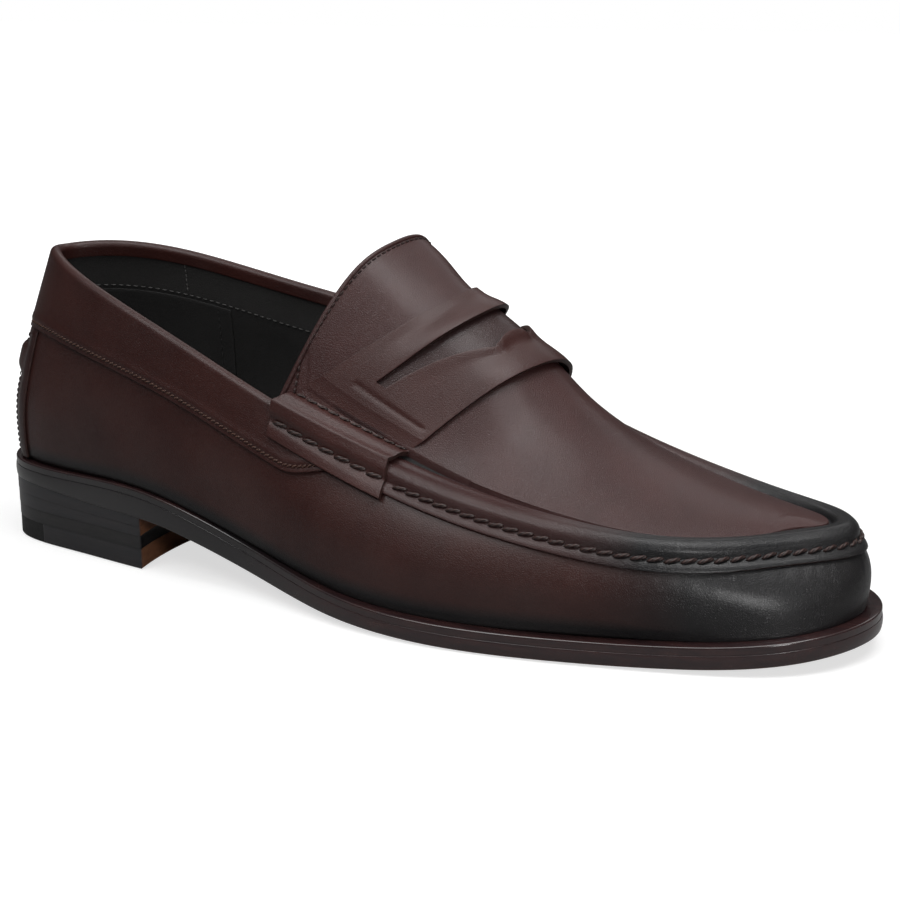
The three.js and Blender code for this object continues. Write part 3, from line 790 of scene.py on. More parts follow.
@dataclass(frozen=True)
class CutEdge:
    """Cut edge of a sheet of leather: loose brown fibre, dyed in part."""

    name: str = "cut_leather_edge"
    colour: tuple[float, float, float] = (0.055, 0.022, 0.017)
    dark: tuple[float, float, float] = (0.02, 0.009, 0.008)

    def make(self) -> bpy.types.Material:
        """Fibres of two browns, rough, with their own relief.

        Returns:
            The material.
        """
        material, n, shader = new_material(self.name)
        fibre = use_group(n, FIBRE, Strands=1500.0)
        n.put(shader, "Base Color", n.mix(n.spread(fibre.outputs["Strand"], 0.35, 0.65), rgba(self.dark),
                                          rgba(self.colour)))
        n.put(shader, "Roughness", n.spread(fibre.outputs["Fleck"], 0.0, 1.0, 0.75, 0.5))
        bump = n.add("Bump", Height=fibre.outputs["Strand"], Distance=0.00012)
        n.put(shader, "Normal", bump.outputs[0])
        return material


@dataclass(frozen=True)
class SoleEdge:
    """Trimmed sole or heel edge, inked and waxed, over fibres that still show a little."""

    name: str
    colour: tuple[float, float, float]
    under: tuple[float, float, float]
    roughness: float = 0.24
    coat: float = 0.6
    strands: float = 500.0
    raw: Optional[tuple[float, float, float]] = None
    raw_dark: tuple[float, float, float] = (0.05, 0.02, 0.01)

    def make(self) -> bpy.types.Material:
        """Ink mixed by the fibre; where the attribute raw is one, the bare leather shows instead.

        Returns:
            The material.
        """
        material, n, shader = new_material(self.name)
        fibre = use_group(n, FIBRE, Strands=self.strands)
        wear = use_group(n, WEAR, Amount=1.0)
        ink = n.mix(n.spread(fibre.outputs["Strand"], 0.4, 0.7), rgba(self.colour), rgba(self.under))
        rough = n.math("MULTIPLY_ADD", fibre.outputs["Strand"], 0.18, self.roughness - 0.09)
        rough = n.math("MULTIPLY_ADD", wear.outputs["Scuff"], 0.1, rough)
        if self.raw:
            bare = n.attribute("raw")
            tan = n.mix(n.spread(fibre.outputs["Strand"], 0.3, 0.7), rgba(self.raw_dark), rgba(self.raw))
            tan = n.mix(n.math("MULTIPLY", fibre.outputs["Fleck"], 0.25), tan, rgba(self.raw_dark))
            ink = n.mix(bare, ink, tan)
            rough = n.math("MULTIPLY_ADD", bare, 0.35, rough)
            black = n.math("MULTIPLY", n.attribute("waist"), n.math("SUBTRACT", 1.0, bare))
            ink = n.mix(black, ink, (0.0115, 0.0095, 0.0105, 1.0))
        n.put(shader, "Base Color", ink)
        n.put(shader, "Roughness", rough)
        shader.inputs["Coat Weight"].default_value = self.coat
        shader.inputs["Coat Roughness"].default_value = 0.15
        bump = n.add("Bump", Height=fibre.outputs["Strand"], Distance=0.00006)
        n.put(shader, "Normal", bump.outputs[0])
        return material


@dataclass(frozen=True)
class Lining:
    """Unfinished goat lining: dull, close-grained, a shade lighter along the rim."""

    name: str = "lining_leather"
    colour: tuple[float, float, float] = (0.0125, 0.0122, 0.0122)
    light: tuple[float, float, float] = (0.024, 0.023, 0.0225)

    def make(self) -> bpy.types.Material:
        """Grain of the calf's size, lighter by the attribute rim, rough.

        Returns:
            The material.
        """
        material, n, shader = new_material(self.name)
        grain = use_group(n, GRAIN, Cells=1700.0)
        wear = use_group(n, WEAR, Amount=1.0)
        body = n.mix(n.spread(grain.outputs["Cloud"], 0.25, 0.75), rgba(self.colour), rgba(
            tuple(0.6 * a + 0.4 * b for a, b in zip(self.colour, self.light))))
        body = n.mix(n.attribute("rim"), body, rgba(self.light))
        body = n.mix(n.math("MULTIPLY", wear.outputs["Dust"], 0.12), body, (0.12, 0.115, 0.11, 1.0))
        n.put(shader, "Base Color", body)
        n.put(shader, "Roughness", n.spread(grain.outputs["Fine"], 0.2, 0.8, 0.5, 0.72))
        shader.inputs["Specular IOR Level"].default_value = 0.35
        bump = n.add("Bump", Height=grain.outputs["Height"], Distance=0.00008)
        n.put(shader, "Normal", bump.outputs[0])
        return material


@dataclass(frozen=True)
class Thread:
    """Waxed thread laid in strands that wind along each stitch."""

    name: str
    colour: tuple[float, float, float]
    dark: tuple[float, float, float]
    twist: float = 2.5
    roughness: float = 0.45
    turn: float = 6.283
    wind: float = 18.85

    def make(self) -> bpy.types.Material:
        """Strands from the attributes along and around: a wave of their sum gives colour and relief.

        Returns:
            The material.
        """
        material, n, shader = new_material(self.name)
        turn = n.math("MULTIPLY_ADD", n.attribute("along"), self.twist * self.turn,
                      n.math("MULTIPLY", n.attribute("around"), self.wind))
        strand = n.math("MULTIPLY_ADD", n.math("SINE", turn), 0.5, 0.5)
        wear = use_group(n, WEAR, Amount=1.0)
        n.put(shader, "Base Color", n.mix(n.math("MULTIPLY_ADD", wear.outputs["Dust"], 0.2, strand),
                                          rgba(self.dark), rgba(self.colour)))
        n.put(shader, "Roughness", n.math("MULTIPLY_ADD", strand, -0.15, self.roughness + 0.1))
        bump = n.add("Bump", Height=strand, Distance=0.00012)
        n.put(shader, "Normal", bump.outputs[0])
        return material


@dataclass(frozen=True)
class Plain:
    """Hidden stuff: board, cork, foam, steel and nails, each with a speckle of its own."""

    name: str
    colour: tuple[float, float, float]
    dark: tuple[float, float, float]
    scale: float = 400.0
    roughness: float = 0.7
    metal: float = 0.0
    relief: float = 0.0001

    def make(self) -> bpy.types.Material:
        """Two colours by a noise, and relief from the same noise.

        Returns:
            The material.
        """
        material, n, shader = new_material(self.name)
        noise = n.add("TexNoise", Vector=n.place(), Scale=self.scale, Detail=4.0, Roughness=0.65)
        speckle = noise.outputs[0]
        wear = use_group(n, WEAR, Amount=1.0)
        tone = n.mix(n.spread(speckle, 0.35, 0.65), rgba(self.dark), rgba(self.colour))
        n.put(shader, "Base Color", n.mix(n.math("MULTIPLY", wear.outputs["Scuff"], 0.3), tone,
                                          rgba(self.dark)))
        n.put(shader, "Roughness", n.spread(speckle, 0.2, 0.8, self.roughness - 0.1, self.roughness + 0.1))
        shader.inputs["Metallic"].default_value = self.metal
        bump = n.add("Bump", Height=speckle, Distance=self.relief)
        n.put(shader, "Normal", bump.outputs[0])
        return material


class Finishes:
    """Every finish of the shoe, made once."""

    def __init__(self) -> None:
        """Makes the materials."""
        self.calf = Calf("burgundy_calf").make()
        # The strap and the apron are lit copies of the wall's calf. The apron and tongue are painted lighter
        # for the sheen they catch facing up. The strap sits between, a shade darker than the tongue, so its
        # rear edge shows as a painted step of shade.
        self.strap_calf_lit_copy = Calf(
            "burgundy_strap_calf_lit_copy", colour=(0.06, 0.0195, 0.0165), deep=(0.038, 0.0115, 0.0098),
            roughness=0.4, coat=0.14).make()
        self.apron_calf_lit_copy = Calf(
            "burgundy_apron_calf_lit_copy", colour=(0.06, 0.0212, 0.0195), deep=(0.04, 0.013, 0.012),
            roughness=0.39, coat=0.16, relief=0.00009).make()
        self.edge = CutEdge().make()
        self.lining = Lining().make()
        self.sole_edge = SoleEdge(
            "inked_sole_edge", (0.023, 0.011, 0.012), (0.042, 0.017, 0.016), 0.24, 0.7, 420.0,
            raw=(0.29, 0.15, 0.085), raw_dark=(0.2, 0.095, 0.05)).make()
        self.heel_side = SoleEdge(
            "inked_heel_stack", (0.0155, 0.0148, 0.0178), (0.024, 0.021, 0.023), 0.38, 0.35, 300.0,
            raw=(0.3, 0.13, 0.06), raw_dark=(0.19, 0.075, 0.035)).make()
        self.heel_fibre = SoleEdge(
            "black_heel_fibre", (0.009, 0.0085, 0.0095), (0.018, 0.016, 0.017), 0.38, 0.3, 300.0).make()
        self.rubber = Plain(
            "black_heel_rubber", (0.012, 0.012, 0.0125), (0.006, 0.006, 0.006), 900.0, 0.55).make()
        self.dark_thread = Thread("dark_brown_cord", (0.05, 0.0235, 0.0195), (0.012, 0.006, 0.0055)).make()
        self.rust_thread = Thread(
            "rust_brown_thread", (0.15, 0.075, 0.052), (0.04, 0.018, 0.013), 1.5).make()
        self.grey_thread = Thread("grey_lining_thread", (0.13, 0.125, 0.12), (0.04, 0.04, 0.04), 1.5).make()
        self.natural_thread = Thread(
            "natural_sole_thread", (0.42, 0.33, 0.21), (0.2, 0.14, 0.08), 2.0).make()
        self.cork = Plain("cork_sheet", (0.4, 0.25, 0.13), (0.12, 0.06, 0.03), 350.0, 0.9).make()
        self.steel = Plain(
            "spring_steel", (0.32, 0.33, 0.35), (0.2, 0.2, 0.22), 700.0, 0.3, 1.0, 0.00002).make()
        self.brass = Plain(
            "brass_nail", (0.55, 0.38, 0.16), (0.28, 0.18, 0.08), 900.0, 0.35, 1.0, 0.00002).make()
        self.board = Plain("insole_leather_board", (0.45, 0.32, 0.2), (0.3, 0.2, 0.12), 500.0, 0.8).make()
        self.foam = Plain("latex_foam", (0.62, 0.55, 0.42), (0.45, 0.38, 0.28), 1200.0, 0.9).make()
        self.stiffener = Plain("stiffener_board", (0.4, 0.31, 0.2), (0.28, 0.2, 0.12), 800.0, 0.8).make()


# ---------------------------------------------------------------- pieces of the bottom
def slab(name: str, ring: Array, spine: Array, profile: Sequence, fields: Optional[dict] = None
         ) -> bpy.types.Object:
    """Flat layer with a shaped edge, on a ring of outline points.

    A section runs from the spine over the bottom to the edge, round the edge and back over the top. A
    point of it is ring - inward way * inset while k is 0, and past that a share k of the way to the
    spine, at the height that the profile's function gives for its place.

    Args:
        name: the piece's name.
        ring: (n, 2) outline, closed.
        spine: (n, 2) for each outline point the place where its two faces meet the other side's.
        profile: (inset in mm, share k of the way to the spine, height of (x, y, inset)) for each column.
        fields: numbers for each outline point, kept on all its columns.

    Returns:
        The closed piece.
    """
    step = np.roll(ring, -1, axis=0) - np.roll(ring, 1, axis=0)
    out = unit(np.stack([step[:, 1], -step[:, 0]], axis=-1))
    if ((ring - ring.mean(axis=0)) * out).sum() < 0:
        out = -out
    columns = []
    for inset, k, height in profile:
        flat = ring - out * np.reshape(inset, (-1, 1))
        flat = flat + (spine - flat) * k
        columns.append(np.column_stack([flat, height(flat[:, 0], flat[:, 1])]))
    points = np.stack(columns, axis=1)
    kept = {key: np.repeat(np.asarray(values)[:, None], len(profile), axis=1)
            for key, values in (fields or {}).items()}
    return make_mesh(name, points.reshape(-1, 3), grid_faces(len(ring), len(profile), ring=True), kept)


INNER_SHARES = (1, 0.82, 0.62, 0.42, 0.25, 0.12, 0.05)


def edge_profile(low: Callable, high: Callable, radius_low: float | Array, radius_high: float,
                 swell: float = 0.0, inner: Sequence[float] = INNER_SHARES) -> list:
    """Section of a slab with rounded edges, which may swell between them.

    Args:
        low: height of the bottom face at (x, y).
        high: height of the top face at (x, y).
        radius_low: rounding at the bottom edge, one number or one for each outline point.
        radius_high: rounding at the top edge.
        swell: how far the edge's middle stands out.
        inner: shares of the way to the spine for the flat faces.

    Returns:
        The profile for slab().
    """
    columns = [(radius_low, k, low) for k in inner]
    quarter = np.linspace(0.0, math.pi / 2, 5)
    for a in quarter:
        lift = radius_low * (1 - math.cos(a))
        columns.append((radius_low * (1 - math.sin(a)), 0.0, lambda x, y, lift=lift: low(x, y) + lift))
    for s in (0.25, 0.5, 0.75):
        bulge = swell * math.sin(math.pi * s)
        columns.append((-bulge, 0.0, lambda x, y, s=s: mix(low(x, y) + radius_low,
                                                           high(x, y) - radius_high, s)))
    for a in quarter[::-1]:
        lift = radius_high * (1 - math.cos(a))
        columns.append((radius_high * (1 - math.sin(a)), 0.0, lambda x, y, lift=lift: high(x, y) - lift))
    columns += [(radius_high, k, high) for k in inner[::-1]]
    return columns


@dataclass
class Bottom:
    """Outsole, midsole and the sole's stitching."""

    finishes: Finishes
    outsole: float = 4.2
    seam: float = 0.04
    round_off: float = 0.8
    channel_inset: float = 6.0
    channel_depth: float = 1.1
    stitch_span: tuple[float, float] = (0.13, 0.87)
    top_round: float = 0.12
    edge_swell: float = 0.2
    midsole_inset: float = 0.12
    ink_from: float = 165.0
    ink_full: float = 105.0
    count: int = 720

    def ring(self, inset: float = 0.0) -> tuple[Array, Array, Array]:
        """Outline parameters, the outline set in, and its spine along the foot's middle.

        Args:
            inset: distance inward.

        Returns:
            The three of them.
        """
        t = np.arange(self.count) / self.count
        flat = LAST.outline_ring(t) - LAST.outward(t)[:, :2] * inset
        half = np.minimum(t, 1 - t) * 2
        run = smooth(0.0, 1.0, half) * 0.35 + half * 0.65
        a = LAST.outline_ring(half / 2)
        b = LAST.outline_ring(1 - half / 2)
        middle = (a + b) / 2
        spine = np.column_stack([mix(26.0, 270.0, run), middle[:, 1]])
        return t, flat, spine

    def build_outsole(self) -> None:
        """Leather outsole: rounded edge, and a stitched channel on the underside in front of the heel."""
        _, ring, spine = self.ring()

        def low(x: Array, y: Array) -> Array:
            """Bottom face."""
            return LAST.tread(x)

        def high(x: Array, y: Array) -> Array:
            """Top face."""
            return LAST.underside(x) + self.outsole

        round_off = mix(self.top_round, self.round_off, smooth(68.0, 84.0, ring[:, 0]))
        profile = edge_profile(low, high, round_off, self.top_round, swell=self.edge_swell)
        groove = []
        for d in np.linspace(-1.2, 1.2, 9):
            depth = self.channel_depth * math.exp(-((d / 0.5) ** 2))
            groove.append((self.channel_inset + d, 0.0, lambda x, y, depth=depth: low(x, y)
                           + depth * smooth(80.0, 92.0, x)))
        flat = [(self.channel_inset + 1.6, k, low) for k in (1, 0.8, 0.6, 0.4, 0.2, 0.05)]
        profile = flat + groove[::-1] + [(3.0, 0.0, low)] + profile[len(INNER_SHARES):]
        piece = slab("outsole_leather", ring, spine, profile)
        self._mask(piece)
        finish_piece(piece, self.finishes.sole_edge, Slot.EDGE, "outsole")

    def waist(self, x: Array) -> Array:
        """How far the edge is inked black: one from the heel to the waist, fading out at the ball."""
        return smooth(self.ink_from, self.ink_full, x)

    def _mask(self, piece: bpy.types.Object) -> None:
        """Marks the underside, inside the inked edge, as bare leather.

        Args:
            piece: the outsole.
        """
        mesh = piece.data
        spots = last_places(mesh)
        rise = spots[:, 2] - LAST.tread(spots[:, 0])
        bare = 1.0 - smooth(0.1, 0.5, rise - 0.02)
        groove = rise < self.channel_depth + 0.1
        normal = np.empty(len(mesh.vertices) * 3, np.float32)
        mesh.vertices.foreach_get("normal", normal)
        down = smooth(-0.55, -0.9, normal.reshape(-1, 3)[:, 2])
        set_field(mesh, "raw", np.maximum(bare * (down > 0.5), np.where(groove, down, 0.0)))
        set_field(mesh, "waist", self.waist(spots[:, 0]))

    def build_midsole(self) -> None:
        """Midsole with its ledge round the upper, set in a little, and a fine seam under it."""
        _, ring, spine = self.ring(self.midsole_inset)

        def low(x: Array, y: Array) -> Array:
            """Bottom face."""
            return LAST.underside(x) + self.outsole + self.seam

        def high(x: Array, y: Array) -> Array:
            """Top face."""
            return LAST.underside(x) + LAST.sole_top - 0.15

        piece = slab("midsole_leather", ring, spine, edge_profile(low, high, 0.08, 0.6),
                     {"raw": np.zeros(len(ring))})
        spots = last_places(piece.data)
        rise = spots[:, 2] - LAST.underside(spots[:, 0])
        worn = smooth(LAST.sole_top - 0.85, LAST.sole_top - 0.45, rise) * smooth(110.0, 80.0, spots[:, 0])
        set_field(piece.data, "waist", self.waist(spots[:, 0]) * (1.0 - worn))
        finish_piece(piece, self.finishes.sole_edge, Slot.EDGE, "midsole")

    def build_stitches(self) -> None:
        """Lockstitches that lie in the underside's channel."""
        t = np.linspace(*self.stitch_span, 4000)
        edge = LAST.outline_ring(t) - LAST.outward(t)[:, :2] * self.channel_inset
        path = np.column_stack([edge, LAST.tread(edge[:, 0]) + self.channel_depth - SOLE_ROW.radius])
        down = np.tile([0.0, 0.0, -1.0], (len(path), 1))
        piece = SOLE_ROW.build("sole_stitches", path, down)
        finish_piece(piece, self.finishes.natural_thread, Slot.NATURAL_THREAD, "sole_stitch_thread")

    def build(self) -> None:
        """Builds the bottom."""
        self.build_outsole()
        self.build_midsole()
        self.build_stitches()


@dataclass(frozen=True)
class StitchRow:
    """Stitches along a path: each is a short round thread that rises from the leather and returns."""

    pitch: float
    radius: float
    cover: float = 0.84
    lift: float = 0.35
    slant: float = 0.0
    sides: int = 7
    rings: int = 9

    def build(self, name: str, path: Array, normal: Array) -> bpy.types.Object:
        """Lays the row.

        The centre line of a stitch is the chord from its start to its end plus the normal times
        lift * sin(pi q); the section is a circle whose radius falls off to nothing at both ends as
        (1 - |2q - 1|^5)^0.5. A slant moves the two ends to opposite sides of the path.

        Args:
            name: the piece's name.
            path: (n, 3) fine points on the leather, in order.
            normal: (n, 3) ways out of the leather.

        Returns:
            All the stitches as one piece.
        """
        length = np.concatenate([[0.0], np.cumsum(np.linalg.norm(np.diff(path, axis=0), axis=1))])
        count = max(int(length[-1] / self.pitch), 1)
        pitch = length[-1] / count
        start = np.arange(count) * pitch + pitch * (1 - self.cover) / 2
        end = start + pitch * self.cover

        def at(s: Array, table: Array) -> Array:
            """Rows of a table at the lengths s."""
            return np.stack([np.interp(s, length, table[:, c]) for c in range(3)], axis=-1)

        a, b = at(start, path), at(end, path)
        up = unit(at((start + end) / 2, normal))
        along = unit(b - a)
        side = unit(np.cross(up, along))
        a = a - side * self.slant / 2
        b = b + side * self.slant / 2
        along = unit(b - a)
        side = unit(np.cross(up, along))
        q = np.linspace(0.0, 1.0, self.rings)
        wave = np.sin(np.pi * q)
        centre = a[:, None] + (b - a)[:, None] * q[None, :, None] + up[:, None] * (
            self.lift * wave - 0.35 * self.radius * (1 - wave))[None, :, None]
        taper = self.radius * np.sqrt(np.maximum(1 - np.abs(2 * q - 1) ** 5, 0.0))
        angle = np.arange(self.sides) * 2 * np.pi / self.sides
        ring = (side[:, None, None] * np.cos(angle)[None, None, :, None]
                + up[:, None, None] * np.sin(angle)[None, None, :, None])
        points = centre[:, :, None] + ring * taper[None, :, None, None]
        quads = grid_faces(self.sides, self.rings, ring=True)
        order = points.transpose(0, 2, 1, 3).reshape(count, -1, 3)
        size = self.sides * self.rings
        faces = (quads[None] + (np.arange(count) * size)[:, None, None]).reshape(-1, 4)
        fields = {
            "along": np.broadcast_to(q[None, None, :], (count, self.sides, self.rings)),
            "around": np.broadcast_to((angle / (2 * np.pi))[None, :, None], (count, self.sides, self.rings)),
        }
        return make_mesh(name, order.reshape(-1, 3), faces, fields)


SOLE_ROW = StitchRow(3.4, 0.35, cover=0.8, lift=0.1)
BACK_STRAP_ROW = StitchRow(1.9, 0.2, lift=0.16)
TONGUE_ROW = StitchRow(2.2, 0.29, lift=0.2)
RIDGE_ROW = StitchRow(4.6, 0.56, cover=1.12, lift=0.42, slant=1.3)
COLLAR_ROW = StitchRow(1.75, 0.26, cover=1.0, lift=0.18, slant=0.9)
STRAP_WALL_ROW = StitchRow(5.3, 0.66, cover=1.06, lift=0.45, slant=1.0)
STRAP_APRON_ROW = StitchRow(3.7, 0.5, cover=1.04, lift=0.4, slant=0.8)
LINING_ROW = StitchRow(2.6, 0.2, cover=0.68, lift=0.15)
GRIP_ROW = StitchRow(2.4, 0.18, cover=0.7, lift=0.12)
JOIN_ROW = StitchRow(1.6, 0.22, cover=1.0, lift=0.12)


@dataclass
class Heel:
    """Stacked heel: two leather lifts, a black fibre lift, a leather top piece and its rubber tip."""

    finishes: Finishes
    breast: float = 70.6
    hollow: float = 4.0
    top_piece: float = 6.5
    fibre: float = 4.5
    tip: float = 24.0
    seam: float = 0.03
    insets: tuple[float, float, float, float] = (0.5, 0.4, 0.3, 0.2)
    count: int = 300

    def ring(self, inset: float, front: float, back: float, hollow: float) -> tuple[Array, Array, Array]:
        """Heel outline between two lengths, with its front face hollowed, and the mark of that face.

        The outline runs round the heel's back at fine parameters, and its two ends are joined by an arc
        x = front - hollow (1 - s^2) for s from -1 to 1; a cut back face is a straight line.

        Args:
            inset: distance inward from the sole.
            front: length where it ends in front.
            back: length where it starts.
            hollow: depth of the arc.

        Returns:
            The outline, its centre for each point, and one where a point is on the front face.
        """
        t = np.linspace(-0.3, 0.3, 4001)
        edge = LAST.outline_ring(t) - LAST.outward(t)[:, :2] * inset
        keep = (edge[:, 0] <= front) & (edge[:, 0] >= back)
        half = self.count // 2
        parts = []
        for side in (t < 0, t >= 0):
            run = edge[keep & side]
            length = np.concatenate([[0], np.cumsum(np.linalg.norm(np.diff(run, axis=0), axis=1))])
            s = np.linspace(0, length[-1], half)
            parts.append(np.column_stack([np.interp(s, length, run[:, c]) for c in (0, 1)]))
        medial, lateral = parts
        s = np.linspace(-1, 1, 42)[1:-1]
        y = mix(lateral[-1, 1], medial[0, 1], (s + 1) / 2)
        breast = np.column_stack([front - hollow * (1 - s**2), y])
        pieces = [medial]
        if back > 1.0:
            k = np.linspace(0, 1, 26)[1:-1, None]
            pieces.append(mix(medial[-1], lateral[0], k))
        pieces += [lateral, breast]
        ring = np.vstack(pieces)
        mark = np.zeros(len(ring))
        mark[-len(breast):] = 1.0
        centre = np.array([(max(back, 0.0) + front) / 2, ring[:, 1].mean()])
        return ring, np.tile(centre, (len(ring), 1)), mark

    def layer(self, name: str, low: Callable, high: Callable, inset: float, material: bpy.types.Material,
              slot: Slot, front: Optional[float] = None, back: float = -1.0, radius: float = 0.07) -> None:
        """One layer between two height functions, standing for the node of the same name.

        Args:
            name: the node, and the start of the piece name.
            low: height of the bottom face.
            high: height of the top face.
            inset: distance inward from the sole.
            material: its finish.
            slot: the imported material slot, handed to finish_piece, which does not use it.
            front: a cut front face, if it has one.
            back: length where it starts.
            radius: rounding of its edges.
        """
        cut_front = front is not None
        ring, spine, mark = self.ring(inset, front or self.breast, back, 0.0 if cut_front else self.hollow)
        piece = slab(name + "_layer", ring, spine,
                     edge_profile(low, high, radius, radius, inner=(1, 0.7, 0.4, 0.15, 0.04)), {"raw": mark})
        finish_piece(piece, material, slot, name)

    def build(self) -> None:
        """Builds the layers from the ground up."""
        def flat(z: float) -> Callable:
            """A level face."""
            return lambda x, y: np.zeros_like(x) + z

        def roof(x: Array, y: Array) -> Array:
            """The outsole's lower face, less the seam."""
            return LAST.tread(x) - self.seam

        top_fibre = self.top_piece + self.seam + self.fibre
        floor = top_fibre + self.seam

        def joint(x: Array, y: Array) -> Array:
            """Half way between the fibre lift and the outsole."""
            return mix(floor, roof(x, y), 0.5)

        ground, fibre, second, first = self.insets
        self.layer("heel_rubber_tip", flat(0.0), flat(self.top_piece), ground, self.finishes.rubber,
                   Slot.RUBBER, front=self.tip, radius=0.15)
        self.layer("heel_top_piece", flat(0.0), flat(self.top_piece), ground, self.finishes.heel_side,
                   Slot.HEEL, back=self.tip + self.seam)
        self.layer("heel_lift_3", flat(self.top_piece + self.seam), flat(top_fibre), fibre,
                   self.finishes.heel_fibre, Slot.FIBRE)
        self.layer("heel_lift_2", flat(floor), lambda x, y: joint(x, y) - self.seam, second,
                   self.finishes.heel_side, Slot.HEEL)
        self.layer("heel_lift_1", joint, roof, first, self.finishes.heel_side, Slot.HEEL)


# ---------------------------------------------------------------- pieces of the upper
def sheet(name: str, points: Array, way: Callable[[Array], Array], fields: Optional[dict] = None,
          ring: bool = False) -> bpy.types.Object:
    """Open sheet over a grid of points, its face turned the way given.

    Args:
        name: the name it gets.
        points: (rows, columns, 3) places on the last.
        way: gives the way that faces turn.
        fields: numbers for each point.
        ring: whether the last row joins the first.

    Returns:
        The sheet.
    """
    rows, columns = points.shape[:2]
    kept = {key: np.broadcast_to(v, (rows, columns)) for key, v in (fields or {}).items()}
    return make_mesh(name, points.reshape(-1, 3), grid_faces(rows, columns, ring=ring), kept, way)


def from_core(points: Array) -> Array:
    """Way out of the foot at a point: from the middle of the shoe, level.

    Args:
        points: (n, 3) places.

    Returns:
        (n, 3) ways, not of length one.
    """
    core = np.column_stack([np.clip(points[:, 0], 30.0, 262.0), np.interp(points[:, 0], (0, 300), (-1, 8)),
                            points[:, 2]])
    return points - core


def to_core(points: Array) -> Array:
    """Way into the shoe at a point."""
    return -from_core(points)


def upward(points: Array) -> Array:
    """Straight up at every point."""
    return np.tile([0.0, 0.0, 1.0], (len(points), 1))


def toe_burnish(t: Array) -> Array:
    """How far the wall is burnished black at the toe: one round the tip, falling off to both sides."""
    turn = np.abs(np.mod(t, 1.0) - 0.5)
    return smooth(0.15, 0.075, turn)


def seam_frame(t: Array) -> tuple[Array, Array, Array, Array]:
    """At the apron's seam: the point, way out of the wall, way in over the apron, and way up from it.

    Args:
        t: (n,) places along the seam.

    Returns:
        Four (n, 3) arrays.
    """
    point = LAST.below_top(t, 0.0, 0.0)
    _, out, _ = LAST.wall_frame(t, np.ones_like(t) * 0.99)
    inward = unit(LAST.apron(t, 0.3, 0.0) + np.array([0.0, 0.0, 1.0]) - point)
    along = unit(LAST.below_top(t + 2e-3, 0.0, 0.0) - LAST.below_top(t - 2e-3, 0.0, 0.0))
    up = unit(np.cross(inward, along))
    return point, out, inward, up * np.sign(up[:, 2:3])


def rolled(t: Array, profile: Array) -> Array:
    """Section carried along the apron's seam.

    A row (drop, out, in, up) of the profile puts a point drop mm down the wall from the seam, then out
    along the wall's normal, in over the apron and up from it.

    Args:
        t: (n,) places along the seam.
        profile: (m, 4) rows.

    Returns:
        (n, m, 3) points.
    """
    _, _, inward, up = seam_frame(t)
    drop = profile[None, :, 0]
    base = LAST.below_top(t[:, None], drop, profile[None, :, 1])
    return base + inward[:, None] * profile[None, :, 2, None] + up[:, None] * profile[None, :, 3, None]


RIDGE = Spline([(8.0, 1.05, 0, 0), (7.0, 1.15, 0, 0), (5.9, 0.9, 0, 0), (5.0, 0.75, 0, 0),
                (4.1, 1.3, 0, 0), (2.8, 2.0, 0, 0), (1.3, 1.9, 0, 0), (0.2, 1.1, 0, 0.2),
                (0, 0, 0.9, 0.45), (0, 0, 2.1, 0.2), (0, 0, 3.1, -0.8), (0, 0, 3.6, -1.9),
                (0, 0, 4.3, -2.3)], ring=False)
ROLL = Spline([(9.9, 2.2, 0, 0), (8.4, 2.3, 0, 0), (6.6, 2.2, 0, 0), (5.1, 1.8, 0, 0), (4.1, 2.5, 0, 0),
               (2.7, 3.5, 0, 0), (1.0, 3.6, 0, 0.3), (0, 2.6, 0.2, 1.5), (0, 1.2, 1.1, 2.5),
               (0, 0, 2.4, 2.9), (0, 0, 4.0, 2.4), (0, 0, 5.2, 1.2), (0, 0, 6.0, -0.1),
               (0, 0, 7.0, -0.5)], ring=False)

STRAP_FRONT = 0.2245


